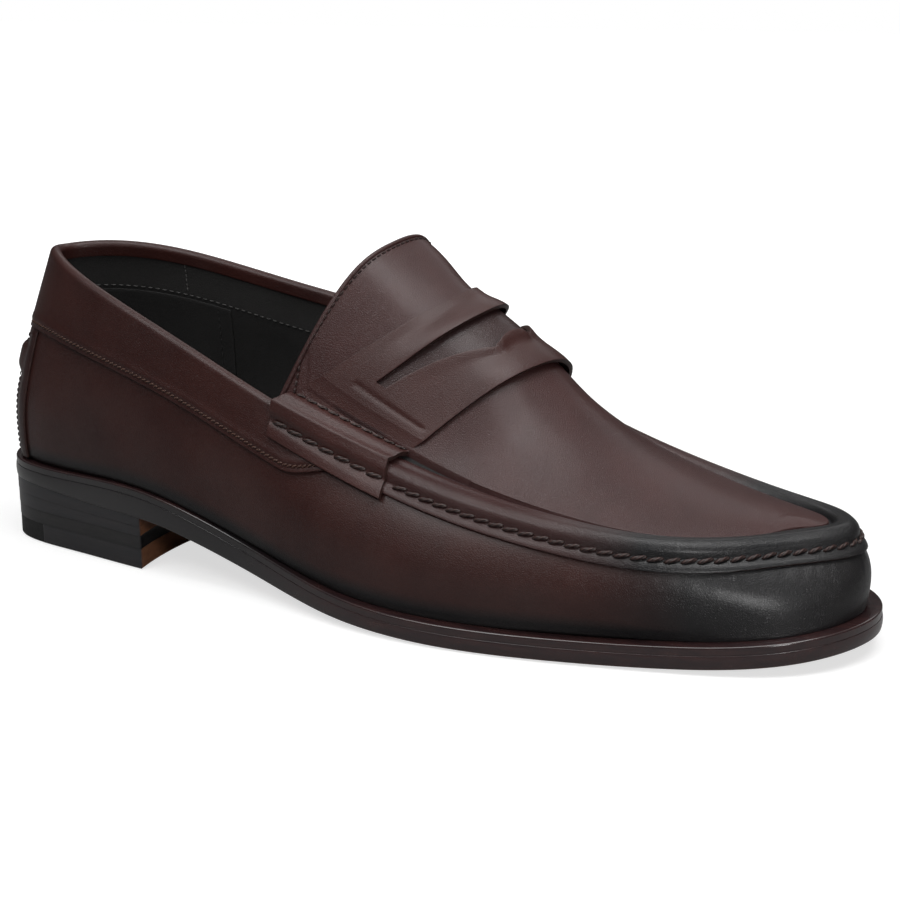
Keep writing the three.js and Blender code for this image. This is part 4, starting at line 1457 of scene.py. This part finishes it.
@dataclass
class Upper:
    """Wall, collar, back strap, apron with its ridge and tongue, and their stitches."""

    finishes: Finishes
    leather: float = 1.1
    wall_thick: float = 1.4
    around: int = 640
    seam_v: float = 0.65
    gather_depth: float = 0.035
    gather_count: int = 118
    collar_end: float = 0.262
    ridge_rows: int = 34
    back_half: float = 0.062
    fold_radius: float = 1.85
    fold_start: float = 1.9
    raw_start: float = 3.2
    turned_edge: float = 2.9
    pipe_height: float = 0.5
    knob_height: float = 1.9
    knob_at: float = 0.475
    knob_rise: float = 0.062
    knob_half: float = 0.046
    back_stand: float = 0.75
    back_stitch_at: float = 0.72

    def collar_seam(self, t: Array) -> Array:
        """Height share of the collar's lower edge: level along the quarter, rising under the strap."""
        turn = np.abs(t)
        return self.seam_v - 0.04 * smooth(0.09, 0.0, turn) + 0.2 * smooth(0.222, 0.262, turn)

    def dress(self, piece: bpy.types.Object, material: bpy.types.Material, thick: float, *nodes: str,
              edge: float = 0.28) -> None:
        """Thickness with bare cut edges, then the finish.

        Args:
            piece: the sheet.
            material: its finish.
            thick: its thickness.
            nodes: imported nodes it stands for.
            edge: width of the rounding.
        """
        thicken(piece, thick, edge)
        finish_piece(piece, material, Slot.UPPER, *nodes)
        bare_edge(piece, self.finishes.edge)

    def build_wall(self) -> None:
        """Moccasin wall: one sheet right round, tucked in at the sole, with faint gathers at the toe."""
        t = np.arange(self.around) / self.around
        v = np.concatenate([[-1.0], np.linspace(0.0, 1.0, 46) ** 0.95])[None, :]
        turn = np.abs(t - 0.5)
        rear = smooth(0.255, 0.28, turn)
        top = mix(0.965, self.seam_v + 0.1, rear)[:, None]
        share = np.clip(v, 0, 1) * top
        drop = (1 - share) * LAST.height(t)[:, None]
        gather = self.gather_depth * smooth(0.17, 0.06, turn)[:, None] * hump(drop, 10.0, 4.0)
        ripple = gather * np.sin(t[:, None] * 2 * np.pi * self.gather_count + 0.9 * np.sin(t[:, None] * 190))
        points = LAST.side(t[:, None], share, ripple)
        foot = LAST.side(t, np.zeros_like(t), 0.0)
        points[:, 0] = foot - LAST.outward(t) * 1.6 - np.array([0, 0, 0.35])
        points[:, 1] = foot - LAST.outward(t) * 0.25 - np.array([0, 0, 0.1])
        # The lowest few millimetres of the wall, along the sole, are darkened near black through the same
        # attribute as the toe's burnish.
        low = 1.0 - smooth(1.5, 8.5, share * LAST.height(t)[:, None])
        black = np.maximum(toe_burnish(t)[:, None], low * 0.95)
        piece = sheet("moccasin_wall", points, from_core, {"burnish_and_shade": np.clip(black, 0, 1)}, ring=True)
        self.dress(piece, self.finishes.calf, self.wall_thick, "vamp_wall")

    def build_collar(self) -> None:
        """Collar: a sheet laid on the quarter, folded over the topline and turned down inside."""
        t = np.linspace(-self.collar_end, self.collar_end, 520)
        turn = np.abs(t)
        height = LAST.height(t)
        seam_drop = (1 - self.collar_seam(t)) * height
        fold = smooth(0.232, 0.212, turn)
        start = mix(self.raw_start, self.fold_start, fold)
        down = mix(seam_drop[:, None], start[:, None], np.linspace(0, 1, 26)[None, :] ** 0.9)
        out = np.full_like(down, self.leather + 0.05)
        out += 0.25 * hump(seam_drop[:, None] - down, 3.0, 1.2) - 0.22 * hump(
            seam_drop[:, None] - down, 1.6, 0.6)
        angle = np.linspace(0, np.pi, 13)[None, 1:]
        radius = self.fold_radius
        arc_drop = mix(start[:, None] - 0.4 * np.sin(angle), radius - radius * np.sin(angle), fold[:, None])
        arc_out = mix(self.leather - 0.2 * angle / np.pi + 0 * fold[:, None],
                      self.leather - radius + radius * np.cos(angle), fold[:, None])
        inner = np.linspace(0, 1, 8)[None, 1:]
        in_drop = mix(start[:, None] - 0.2, radius + self.turned_edge * inner, fold[:, None])
        in_out = mix(self.leather - 0.25 + 0 * inner, self.leather - 2 * radius - 0.2 * inner,
                     fold[:, None])
        drop = np.concatenate([down, arc_drop, in_drop], axis=1)
        offset = np.concatenate([out, arc_out, in_out], axis=1)
        points = LAST.below_top(t[:, None], drop, offset)
        burnish_and_shade = 0.12 * hump(drop, seam_drop[:, None], 2.5)
        piece = sheet("collar_band", points, from_core, {"burnish_and_shade": burnish_and_shade})
        self.dress(piece, self.finishes.calf, 1.0, "collar")

    def build_back_strap(self) -> None:
        """Upright strap over the back seam: piped edges, a raised knob, and its top under the collar."""
        half = self.back_half
        t = np.linspace(-half, half, 70)[:, None]
        v = np.linspace(0.012, 0.66, 90)[None, :]
        edge = np.abs(t) / half
        pipe = self.pipe_height * hump(edge, 0.92, 0.07)
        over_knob = np.exp(-((t / self.knob_half) ** 6))
        knob = self.knob_height * np.exp(-(((v - self.knob_at) / self.knob_rise) ** 6)) * over_knob
        pinch = 0.5 * (hump(v, 0.39, 0.02) + hump(v, 0.56, 0.02)) * over_knob
        offset = self.back_stand + pipe + knob - pinch + 0 * v
        offset = np.minimum(offset, mix(offset, 0.3, smooth(0.6, 0.65, v)))
        points = LAST.side(t, v, offset)
        piece = sheet("back_seam_strap", points, from_core, {"burnish_and_shade": 0.35 * hump(edge, 1.0, 0.2) + 0 * v})
        self.dress(piece, self.finishes.calf, 0.95, "back_strap")
        for name, s in (("outer", -1.0), ("inner", 1.0)):
            v_line = np.linspace(0.03, 0.6, 400)
            t_line = np.full_like(v_line, s * half * self.back_stitch_at)
            path = LAST.side(t_line, v_line, 0.76)
            normal = LAST.wall_frame(t_line, v_line)[1]
            stitches = BACK_STRAP_ROW.build(f"back_strap_stitches_{name}", path, normal)
            finish_piece(stitches, self.finishes.dark_thread, Slot.DARK_THREAD)

    def build_apron(self) -> None:
        """Apron and tongue in one sheet: a lip on the wall, the ridge, the crease, then the instep."""
        reach = LAST.tongue
        t = np.linspace(0.5 - reach, 0.5 + reach, 460)
        turn = np.abs(t - 0.5)
        seamed = smooth(LAST.throat, LAST.throat - 0.02, turn)[:, None, None]
        ridge = rolled(t, RIDGE(np.linspace(0, 1, self.ridge_rows)))
        half = LAST.half_width(t)
        first = np.clip(5.0 / half, 0.0, 0.6)
        share = first[:, None] + (1 - first[:, None]) * np.linspace(0, 1, 56)[None, :] ** 1.15
        plain_share = first[:, None] * np.linspace(0.0, 0.94, self.ridge_rows)[None, :]
        plain = LAST.apron(t[:, None], plain_share, 0.0)
        top = LAST.apron(t[:, None], share, 0.12 + 0.13 * smooth(0.1, 0.3, turn)[:, None])
        points = np.concatenate([mix(plain, ridge, seamed), top], axis=1)
        points[:, -1] = (points[:, -1] + points[::-1, -1]) / 2
        tip = smooth(0.16, 0.07, turn)[:, None]
        on_ridge = np.concatenate([np.ones(self.ridge_rows), np.zeros(56)])[None, :]
        rim = np.concatenate([np.ones((len(t), self.ridge_rows)), smooth(0.25, 0.05, share)], axis=1)
        # Painted shade: the apron is darkened inside the strap's slot, where the two bands would shade it.
        slot_painted_shade = 0.4 * smooth(0.236, 0.243, turn)[:, None] * smooth(0.272, 0.266, turn)[:, None]
        burnish_and_shade = np.clip(tip * on_ridge * 0.95 + 0.3 * rim * tip + 0.22 * on_ridge * seamed[:, :, 0]
                          * smooth(0.3, 0.2, turn)[:, None] + slot_painted_shade * (1 - on_ridge), 0, 1)
        piece = sheet("apron_and_tongue", points, upward, {"burnish_and_shade": burnish_and_shade})
        self.dress(piece, self.finishes.apron_calf_lit_copy, self.leather, "apron", edge=0.2)

    def build_tongue_trim(self) -> None:
        """Turned bead round the tongue, and the close stitches inside it."""
        end = LAST.tongue
        rise = np.linspace(LAST.throat + 0.002, end, 160)
        across = np.linspace(0.0, 1.0, 260)
        t = np.concatenate([0.5 - rise, np.full(len(across), 0.5 - end), np.full(len(across), 0.5 + end),
                            (0.5 + rise)[::-1]])
        k = np.concatenate([np.zeros(len(rise)), across, across[::-1], np.zeros(len(rise))])
        path = LAST.apron(t, k, 0.0)
        piece = self.bead("tongue_bead", path, LAST.apron_frame(t, np.clip(k, 0.02, 1))[1], 0.78)
        finish_piece(piece, self.finishes.apron_calf_lit_copy, Slot.UPPER)
        inset_t = np.concatenate([0.5 - rise[:-8], np.full(len(across), 0.5 - rise[-9]),
                                  np.full(len(across), 0.5 + rise[-9]), (0.5 + rise[:-8])[::-1]])
        edge_k = 2.6 / np.maximum(LAST.half_width(inset_t), 1.0)
        inset_k = np.concatenate([np.zeros(len(rise) - 8), across, across[::-1], np.zeros(len(rise) - 8)])
        inset_k = np.maximum(inset_k, edge_k)
        line = LAST.apron(inset_t, inset_k, 0.3)
        stitches = TONGUE_ROW.build("tongue_stitches", line, LAST.apron_frame(inset_t, inset_k)[1])
        finish_piece(stitches, self.finishes.dark_thread, Slot.DARK_THREAD)

    def bead(self, name: str, path: Array, normal: Array, radius: float) -> bpy.types.Object:
        """Round bead along a path: circles of one radius across it, closed at both ends.

        Args:
            name: the name it gets.
            path: (n, 3) points.
            normal: (n, 3) ways out of the leather.
            radius: radius of the bead.

        Returns:
            The bead.
        """
        keep = np.concatenate([[True], np.linalg.norm(np.diff(path, axis=0), axis=1) > 0.05])
        path, normal = path[keep], normal[keep]
        along = unit(np.gradient(path, axis=0))
        side = unit(np.cross(normal, along))
        up = unit(np.cross(along, side))
        angle = np.linspace(0, 2 * np.pi, 13)[:-1]
        size = np.full(len(path), radius)
        size[[0, -1]] = 0.0
        ring = (side[:, None] * np.cos(angle)[None, :, None] + up[:, None] * np.sin(angle)[None, :, None])
        points = path[:, None] + ring * size[:, None, None]
        order = points.transpose(1, 0, 2)
        fields = {"burnish_and_shade": np.full(order.shape[:2], 0.15)}
        return make_mesh(name, order.reshape(-1, 3), grid_faces(12, len(path), ring=True), fields)

    def build_threads(self) -> None:
        """Cord stitches along the ridge, and the fine stitches of the collar's seam."""
        reach = STRAP_FRONT - 0.004
        t = np.linspace(0.5 - reach, 0.5 + reach, 6000)
        path = LAST.below_top(t, 5.1, 0.95)
        _, out, _ = LAST.wall_frame(t, 1 - 5.0 / LAST.height(t))
        piece = RIDGE_ROW.build("ridge_stitches", path, out)
        finish_piece(piece, self.finishes.dark_thread, Slot.DARK_THREAD, "apron_seam_thread")
        for name, side, node in (("outer", 1.0, "collar_thread_lateral"),
                                 ("inner", -1.0, "collar_thread_medial")):
            t = side * np.linspace(0.047, 0.25, 5000)
            drop = (1 - self.collar_seam(t)) * LAST.height(t) - 1.7
            path = LAST.below_top(t, drop, 1.15)
            _, out, _ = LAST.wall_frame(t, 1 - drop / LAST.height(t))
            row = replace(COLLAR_ROW, slant=COLLAR_ROW.slant * side)
            stitches = row.build(f"collar_stitches_{name}", path, out)
            finish_piece(stitches, self.finishes.rust_thread, Slot.RUST_THREAD, node)

    def build(self) -> None:
        """Builds the upper."""
        self.build_wall()
        self.build_collar()
        self.build_back_strap()
        self.build_apron()
        self.build_tongue_trim()
        self.build_threads()


@dataclass
class SaddleStrap:
    """Strap over the instep, wrapped round the ridge at both ends; its slot has a lobed lower lip."""

    finishes: Finishes
    front: float = STRAP_FRONT
    rear: float = 0.286
    slot_rear: float = 0.2655
    slot_end: float = 0.124
    thick: float = 1.5
    stand: float = 1.6
    wrap_rows: int = 40
    roll_share: float = 0.19
    roll_reach: float = 7.9
    mark_share: float = 0.215
    lower_lip: Sequence = ((0.124, 0.2596), (0.214, 0.2551), (0.324, 0.2486), (0.396, 0.2441),
                           (0.428, 0.2457), (0.461, 0.2475), (0.5, 0.2484))

    def across(self) -> Array:
        """Fan shares over one half of the strap, from the roll to the crest, with the slot's end doubled.

        Returns:
            The shares, in order.
        """
        end = 2 * self.slot_end
        before = np.linspace(self.roll_share, end - 0.0006, 16)
        inside = np.concatenate([[end + 0.0006], np.linspace(end + 0.004, 1.0, 120)])
        return np.concatenate([before, inside])

    def lip(self, k: Array) -> Array:
        """Row of the slot's lower lip: straight to a corner, then a round lobe over the crest.

        Args:
            k: fan shares.

        Returns:
            The rows.
        """
        table = np.array(self.lower_lip)
        value = np.interp(k / 2, table[:, 0], table[:, 1])
        return np.where(k / 2 > self.slot_end, value, self.slot_rear)

    def surface(self, side: float, tau: Array, k: Array, edge: Array) -> Array:
        """Points of the strap's outer face.

        Args:
            side: -1 for the outer half, 1 for the inner half.
            tau: (rows, columns) rows of the apron.
            k: (columns,) fan shares past the roll.
            edge: (rows, columns) extra height at a lip.

        Returns:
            (rows, columns + wrap_rows, 3) points.
        """
        wrap_tau = tau[:, 0]
        t = 0.5 + side * wrap_tau
        wrap = rolled(t, ROLL(np.linspace(0, 1, self.wrap_rows)))
        half = LAST.half_width(t)
        k_first = self.roll_reach / half
        blend = smooth(k[0], k[0] + 0.12, k)[None, :]
        share = mix(k_first[:, None] + k[None, :] - k[0], k[None, :], blend)
        stand = mix(1.5, self.stand, blend) + edge
        over = LAST.apron(0.5 + side * tau, share, stand)
        return np.concatenate([wrap, over], axis=1)

    def build_half(self, side: float, rows_front: int = 44, rows_rear: int = 26) -> list[Array]:
        """The front and rear bands of one half, as grids of points.

        Args:
            side: -1 for the outer half, 1 for the inner half.
            rows_front: rows of the front band.
            rows_rear: rows of the rear band.

        Returns:
            The two grids.
        """
        k = self.across()
        low = self.lip(k)
        inside = k / 2 > self.slot_end
        s = np.linspace(0, 1, rows_front)[:, None]
        tau_front = mix(np.full_like(low, self.front)[None, :], low[None, :], s)
        s2 = np.linspace(0, 1, rows_rear)[:, None]
        tau_rear = mix(np.full_like(low, self.slot_rear)[None, :], np.full_like(low, self.rear)[None, :], s2)
        centre = (smooth(0.3, 0.85, k) if side < 0 else smooth(0.1, 0.45, k))[None, :]
        near_front = smooth(0.018, 0.0, tau_front - self.front)
        lobe = smooth(0.8, 0.88, k)[None, :] * smooth(0.6, 1.0, s)
        lip_lift = 0.45 * inside[None, :] * smooth(2 * self.slot_end, 2 * self.slot_end + 0.2, k)[None, :]
        edge_front = centre * (0.2 + 1.3 * near_front) + 0.9 * lobe + lip_lift * smooth(0.7, 1.0, s)
        rise = smooth(2 * self.slot_end, 2 * self.slot_end + 0.3, k)[None, :] * inside[None, :]
        edge_rear = (1.0 - smooth(0.0, 0.75, s2)) * rise * 1.5
        press = 0.35 * hump(k[None, :], self.mark_share + 0.0065, 0.006)
        edge_front = edge_front - press * smooth(0.2275, 0.2305, tau_front)
        edge_rear = edge_rear - press * smooth(0.2735, 0.2705, tau_rear)
        return [self.surface(side, tau_front, k, edge_front), self.surface(side, tau_rear, k, edge_rear)]

    def build(self) -> None:
        """Builds the strap as one sheet: both halves and both bands, joined where no slot parts them."""
        points, faces = [], []
        total = 0
        halves = {side: self.build_half(side) for side in (-1.0, 1.0)}
        for outer, inner in zip(halves[-1.0], halves[1.0]):
            outer[:, -1] = inner[:, -1] = (outer[:, -1] + inner[:, -1]) / 2
        for side in (-1.0, 1.0):
            for grid in halves[side]:
                rows, columns = grid.shape[:2]
                quads = grid_faces(rows, columns) + total
                points.append(grid.reshape(-1, 3))
                faces.append(quads if side < 0 else quads[:, ::-1])
                total += rows * columns
        piece = make_mesh("saddle_strap_leather", np.vstack(points), np.vstack(faces),
                          {"burnish_and_shade": np.zeros(total)}, upward)
        thicken(piece, self.thick, 0.3)
        finish_piece(piece, self.finishes.strap_calf_lit_copy, Slot.UPPER, "saddle_strap")
        bare_edge(piece, self.finishes.edge)
        self.build_stitches()

    def build_stitches(self) -> None:
        """Two rows of cord stitches over each wrapped end."""
        for name, side, word in (("outer", -1.0, "lateral"), ("inner", 1.0, "medial")):
            tau = np.linspace(self.rear - 0.0012, self.front + 0.0008, 1200)
            t = 0.5 + side * tau
            table = ROLL(np.linspace(0, 1, 400))
            low = table[np.argmin(np.abs(table[:, 0] - 5.0) + 100 * (table[:, 3] > 0.2))]
            high = table[np.argmin(np.abs(table[:, 2] - 6.0))]
            _, out, inward, up = seam_frame(t)
            outer = rolled(t, low[None])[:, 0]
            piece = STRAP_WALL_ROW.build(f"strap_wall_stitches_{name}", outer, out)
            finish_piece(piece, self.finishes.dark_thread, Slot.DARK_THREAD, f"strap_thread_{word}_outer")
            inner = rolled(t, high[None])[:, 0]
            piece = STRAP_APRON_ROW.build(f"strap_apron_stitches_{name}", inner, unit(up + 0.25 * inward))
            finish_piece(piece, self.finishes.dark_thread, Slot.DARK_THREAD, f"strap_thread_{word}_inner")


@dataclass
class Inside:
    """Linings, sock, heel pad, counter and toe puff."""

    finishes: Finishes
    lining: float = 0.9
    stitch_drop: float = 15.5
    join: float = 0.097
    quarter_end: float = 0.232
    top_gap: float = 3.2
    grip_half: float = 0.118
    grip_seam: float = 0.112
    grip_gap: float = 1.2
    grip_foot: float = 0.93
    vamp_end: float = 0.275
    under_sock: tuple[float, ...] = (0.3, 1.5, 0.3, 2.2, 0.3)

    def depth(self, drop: Array) -> Array:
        """Offset of the quarter lining's face from the wall, deeper below the band at the rim."""
        return mix(-2.35, -3.1, smooth(6.0, 22.0, drop))

    def build_quarter(self) -> None:
        """Quarter lining, with the band above its stitch line a shade lighter, and the heel grip."""
        t = np.linspace(-self.quarter_end, self.quarter_end, 360)[:, None]
        height = LAST.height(t)
        drop = mix(self.top_gap, 0.945 * height, np.linspace(0, 1, 60)[None, :])
        points = LAST.below_top(t, drop, self.depth(drop))
        rim = smooth(self.stitch_drop + 0.6, self.stitch_drop - 0.6, drop)
        piece = sheet("quarter_lining_leather", points, to_core, {"rim": rim})
        thicken(piece, self.lining, 0.1)
        finish_piece(piece, self.finishes.lining, Slot.LINING, "quarter_lining")
        line = np.linspace(-0.21, 0.21, 5000)
        path = LAST.below_top(line, self.stitch_drop, -3.0)
        _, out, _ = LAST.wall_frame(line, 1 - self.stitch_drop / LAST.height(line))
        stitches = LINING_ROW.build("lining_stitches", path, -out)
        finish_piece(stitches, self.finishes.grey_thread, Slot.LINING)
        self.build_grip()

    def build_grip(self) -> None:
        """Heel grip: a second layer over the back of the lining, with an upright edge on each side."""
        t = np.linspace(-self.grip_half, self.grip_half, 140)[:, None]
        top = self.stitch_drop + self.grip_gap
        drop = mix(top, self.grip_foot * LAST.height(t), np.linspace(0, 1, 40)[None, :])
        points = LAST.below_top(t, drop, -3.55)
        piece = sheet("heel_grip", points, to_core, {"rim": np.float64(0.1)})
        thicken(piece, 0.35, 0.12)
        finish_piece(piece, self.finishes.lining, Slot.LINING)
        for name, side in (("outer", 1.0), ("inner", -1.0)):
            share = np.linspace(0.03, 0.95, 500)
            line = np.full_like(share, side * self.grip_seam)
            d = mix(top, self.grip_foot * LAST.height(line), share)
            _, out, _ = LAST.wall_frame(line, 1 - d / LAST.height(line))
            path = LAST.below_top(line, d, -3.58)
            stitches = GRIP_ROW.build(f"heel_grip_stitches_{name}", path, -out)
            finish_piece(stitches, self.finishes.lining, Slot.LINING)
            seam_drop = np.linspace(5.0, self.stitch_drop - 1.0, 300)
            line = np.full_like(seam_drop, side * self.join)
            _, out, _ = LAST.wall_frame(line, 1 - seam_drop / LAST.height(line))
            path = LAST.below_top(line, seam_drop, self.depth(seam_drop))
            seam = JOIN_ROW.build(f"lining_join_{name}", path, -out)
            finish_piece(seam, self.finishes.grey_thread, Slot.LINING)

    def build_front(self) -> None:
        """Vamp lining under the wall and apron, and the tongue's lining behind its stitches."""
        t = np.linspace(0.5 - self.vamp_end, 0.5 + self.vamp_end, 300)[:, None]
        wall = LAST.side(t, np.linspace(0.07, 0.86, 24)[None, :], -2.3)
        over = LAST.apron(t, np.linspace(0.16, 1.0, 30)[None, :], -2.4)
        points = np.concatenate([wall, over], axis=1)
        piece = sheet("vamp_lining_leather", points, lambda p: -upward(p), {"rim": 0.0})
        thicken(piece, 0.6, 0.05)
        finish_piece(piece, self.finishes.lining, Slot.LINING, "vamp_lining")
        tau = np.linspace(0.262, 0.3415, 40)[:, None]
        k = np.linspace(0.035, 1.0, 50)[None, :]
        halves = [LAST.apron(0.5 + side * tau, k, -2.1) for side in (-1.0, 1.0)]
        points = np.concatenate([halves[0], halves[1][:, ::-1][:, 1:]], axis=1)
        piece = sheet("tongue_lining_leather", points, lambda p: -upward(p), {"rim": 0.2})
        thicken(piece, 0.9, 0.15)
        finish_piece(piece, self.finishes.lining, Slot.LINING, "tongue_lining")

    def build_stiffeners(self) -> None:
        """Heel counter and toe puff, between the wall and its linings."""
        for name, low, high, node in (("heel_counter_board", -0.155, 0.155, "heel_counter"),
                                      ("toe_puff_board", 0.41, 0.59, "toe_puff")):
            t = np.linspace(low, high, 120)[:, None]
            v = np.linspace(0.1, 0.6 if low < 0 else 0.8, 24)[None, :]
            piece = sheet(name, LAST.side(t, v, -1.5), from_core)
            thicken(piece, 0.45, 0.05)
            finish_piece(piece, self.finishes.stiffener, Slot.STIFFENER, node)

    def build_sock(self, bottom: Bottom) -> None:
        """Sock liner over the insole board, and the foam pad under its heel.

        Args:
            bottom: the bottom, for its outline.
        """
        t, _, spine = bottom.ring()
        ledge = LAST.ledge_ring.number(t)
        ring = LAST.outline_ring(t) - LAST.outward(t)[:, :2] * (ledge + 5.6)[:, None]
        seat = sum(self.under_sock, LAST.sole_top)

        def rise(x: Array) -> Array:
            """How far the pad lifts the sock."""
            return 3.3 * (1 - smooth(60.0, 88.0, x))

        def low(x: Array, y: Array) -> Array:
            """Bottom face."""
            return LAST.underside(x) + seat + rise(x)

        piece = slab("sock_lining", ring, spine, edge_profile(low, lambda x, y: low(x, y) + 1.2, 0.3, 0.4))
        set_field(piece.data, "rim", np.zeros(len(piece.data.vertices)))
        finish_piece(piece, self.finishes.lining, Slot.LINING, "sock_liner")
        heel = Heel(self.finishes)
        pad_ring, pad_spine, _ = heel.ring(ledge[0] + 6.8, 60.0, -1.0, 0.0)

        def pad_low(x: Array, y: Array) -> Array:
            """The pad's bottom face."""
            return LAST.underside(x) + seat

        def pad_top(x: Array, y: Array) -> Array:
            """The pad's crowned top face."""
            return pad_low(x, y) + 2.9 - 0.5 * (y / 26.0) ** 2

        pad = slab("heel_foam_pad", pad_ring, pad_spine, edge_profile(pad_low, pad_top, 0.6, 1.0))
        finish_piece(pad, self.finishes.foam, Slot.FOAM, "heel_pad")

    def build(self, bottom: Bottom) -> None:
        """Builds the inside.

        Args:
            bottom: the bottom, for its outline.
        """
        self.build_quarter()
        self.build_front()
        self.build_stiffeners()
        self.build_sock(bottom)


def dress_kept_nodes(finishes: Finishes) -> None:
    """Gives the carried-over solids their finishes.

    Args:
        finishes: all finishes.
    """
    kept = {"cork_filler": finishes.cork, "shank": finishes.steel, "insole_board": finishes.board}
    kept.update({f"heel_nail_{i}": finishes.brass for i in range(1, 7)})
    for name, material in kept.items():
        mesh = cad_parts[name].data
        mesh.materials.clear()
        mesh.materials.append(material)


# ---------------------------------------------------------------- studio
@dataclass(frozen=True)
class Softbox:
    """Rectangular soft light: where it stands, what it points at, its sides in metres and its power."""

    name: str
    place: tuple[float, float, float]
    aim: tuple[float, float, float]
    size: tuple[float, float]
    power: float

    def build(self) -> None:
        """Adds the light to the scene."""
        data = bpy.data.lights.new(self.name, "AREA")
        data.shape = "RECTANGLE"
        data.size, data.size_y = self.size
        data.energy = self.power
        data.color = (1.0, 1.0, 1.0)
        thing = bpy.data.objects.new(self.name, data)
        thing.location = self.place
        thing.rotation_mode = "QUATERNION"
        thing.rotation_quaternion = (Vector(self.aim) - Vector(self.place)).to_track_quat("-Z", "Y")
        bpy.context.scene.collection.objects.link(thing)


SOFTBOXES = (
    Softbox("overhead_softbox", (0.12, -0.08, 1.1), (0.03, 0.0, 0.04), (1.1, 0.6), 6.6),
    Softbox("back_softbox", (-0.25, 0.95, 0.75), (0.03, 0.0, 0.05), (1.4, 0.4), 1.7),
    Softbox("upper_front_softbox", (0.45, -0.08, 0.95), (0.0, 0.0, 0.06), (0.4, 0.4), 2.0),
    Softbox("front_left_softbox", (-0.3, -0.75, 1.05), (0.0, 0.0, 0.05), (0.6, 0.5), 4.0),
    Softbox("toe_light", (0.75, -0.55, 0.35), (0.1, 0.0, 0.03), (0.16, 0.22), 2.0),
)


@dataclass
class Studio:
    """Pale floor and backdrop, soft lights and the camera."""

    azimuth: float = 28.4
    elevation: float = 14.93
    distance: float = 0.55
    lens: float = 70.34
    target: tuple[float, float, float] = (0.0143, 0.0031, 0.04255)
    floor_half: float = 6.0
    floor_drop: float = 0.0004

    def camera(self) -> None:
        """Camera on the target, from the lateral front."""
        a, e = math.radians(self.azimuth), math.radians(self.elevation)
        back = np.array([math.sin(a) * math.cos(e), -math.cos(a) * math.cos(e), math.sin(e)])
        data = bpy.data.cameras.new("camera")
        data.lens = self.lens
        data.sensor_width = 36.0
        data.clip_start = 0.01
        thing = bpy.data.objects.new("camera", data)
        bpy.context.scene.collection.objects.link(thing)
        thing.location = np.array(self.target) + back * self.distance
        thing.rotation_mode = "QUATERNION"
        thing.rotation_quaternion = Vector(-back).to_track_quat("-Z", "Y")
        bpy.context.scene.camera = thing

    def floor(self) -> None:
        """Pale floor: to the camera it glows near white, dimmer near the shoe as painted shade, with real
        soft shadow over that, and it is dim to everything else.
        """
        size, n = self.floor_half, 3
        mesh = bpy.data.meshes.new("floor")
        s = np.linspace(-size, size, n)
        x, y = np.meshgrid(s, s, indexing="ij")
        points = np.column_stack([x.ravel(), y.ravel(), np.full(n * n, -self.floor_drop)])
        mesh.from_pydata(points.tolist(), [], grid_faces(n, n).tolist())
        mesh.update()
        thing = bpy.data.objects.new("floor", mesh)
        bpy.context.scene.collection.objects.link(thing)
        material, nodes, shader = new_material("studio_floor")
        material.node_tree.nodes.remove(shader)
        out = material.node_tree.nodes["Material Output"]
        pale = nodes.add("BsdfDiffuse", Color=(0.45, 0.45, 0.45, 1.0))
        # Painted shade: the glow the camera sees is weaker within half a metre of the shoe and full white
        # further off.
        reach = nodes.add("VectorMath", operation="LENGTH", i0=nodes.place()).outputs["Value"]
        glow_with_painted_shade = nodes.add("Emission", Color=(1.0, 1.0, 1.0, 1.0),
                         Strength=nodes.spread(reach, 0.22, 0.5, 0.66, 1.05))
        seen = nodes.add("AddShader", i0=pale.outputs[0], i1=glow_with_painted_shade.outputs[0])
        dim = nodes.add("BsdfDiffuse", Color=(0.27, 0.27, 0.27, 1.0))
        path = nodes.add("LightPath")
        both = nodes.add("MixShader", i0=path.outputs["Is Camera Ray"], i1=dim.outputs[0],
                         i2=seen.outputs[0])
        material.node_tree.links.new(both.outputs[0], out.inputs["Surface"])
        mesh.materials.append(material)

    def world(self) -> None:
        """White to the camera; to the leather a soft dome, bright overhead and dim at the horizon."""
        scene = bpy.context.scene
        scene.world = bpy.data.worlds.new("studio")
        scene.world.use_nodes = True
        tree = scene.world.node_tree
        tree.nodes.clear()
        n = Nodes(tree)
        up = n.add("SeparateXYZ", Vector=n.add("TexCoord").outputs["Generated"]).outputs["Z"]
        dome = n.spread(up, 0.2, 1.0, 0.014, 0.33)
        path = n.add("LightPath")
        strength = n.add("Mix", data_type="FLOAT", i0=path.outputs["Is Camera Ray"], i2=dome, i3=1.0)
        back = n.add("Background", Color=(1.0, 1.0, 1.0, 1.0), Strength=strength.outputs[0])
        out = n.add("OutputWorld")
        tree.links.new(back.outputs[0], out.inputs["Surface"])

    def build(self) -> None:
        """Builds the studio."""
        self.camera()
        self.floor()
        self.world()
        for softbox in SOFTBOXES:
            softbox.build()
        bpy.context.scene.view_settings.view_transform = "Standard"


def main() -> None:
    """Builds the shoe from the ground up, then the studio."""
    logging.basicConfig(level=logging.INFO, format="%(message)s")
    LAST.fit()
    finishes = Finishes()
    bottom = Bottom(finishes)
    bottom.build()
    Heel(finishes).build()
    Upper(finishes).build()
    SaddleStrap(finishes).build()
    Inside(finishes).build(bottom)
    dress_kept_nodes(finishes)
    Studio().build()


if __name__ == "__main__":
    main()
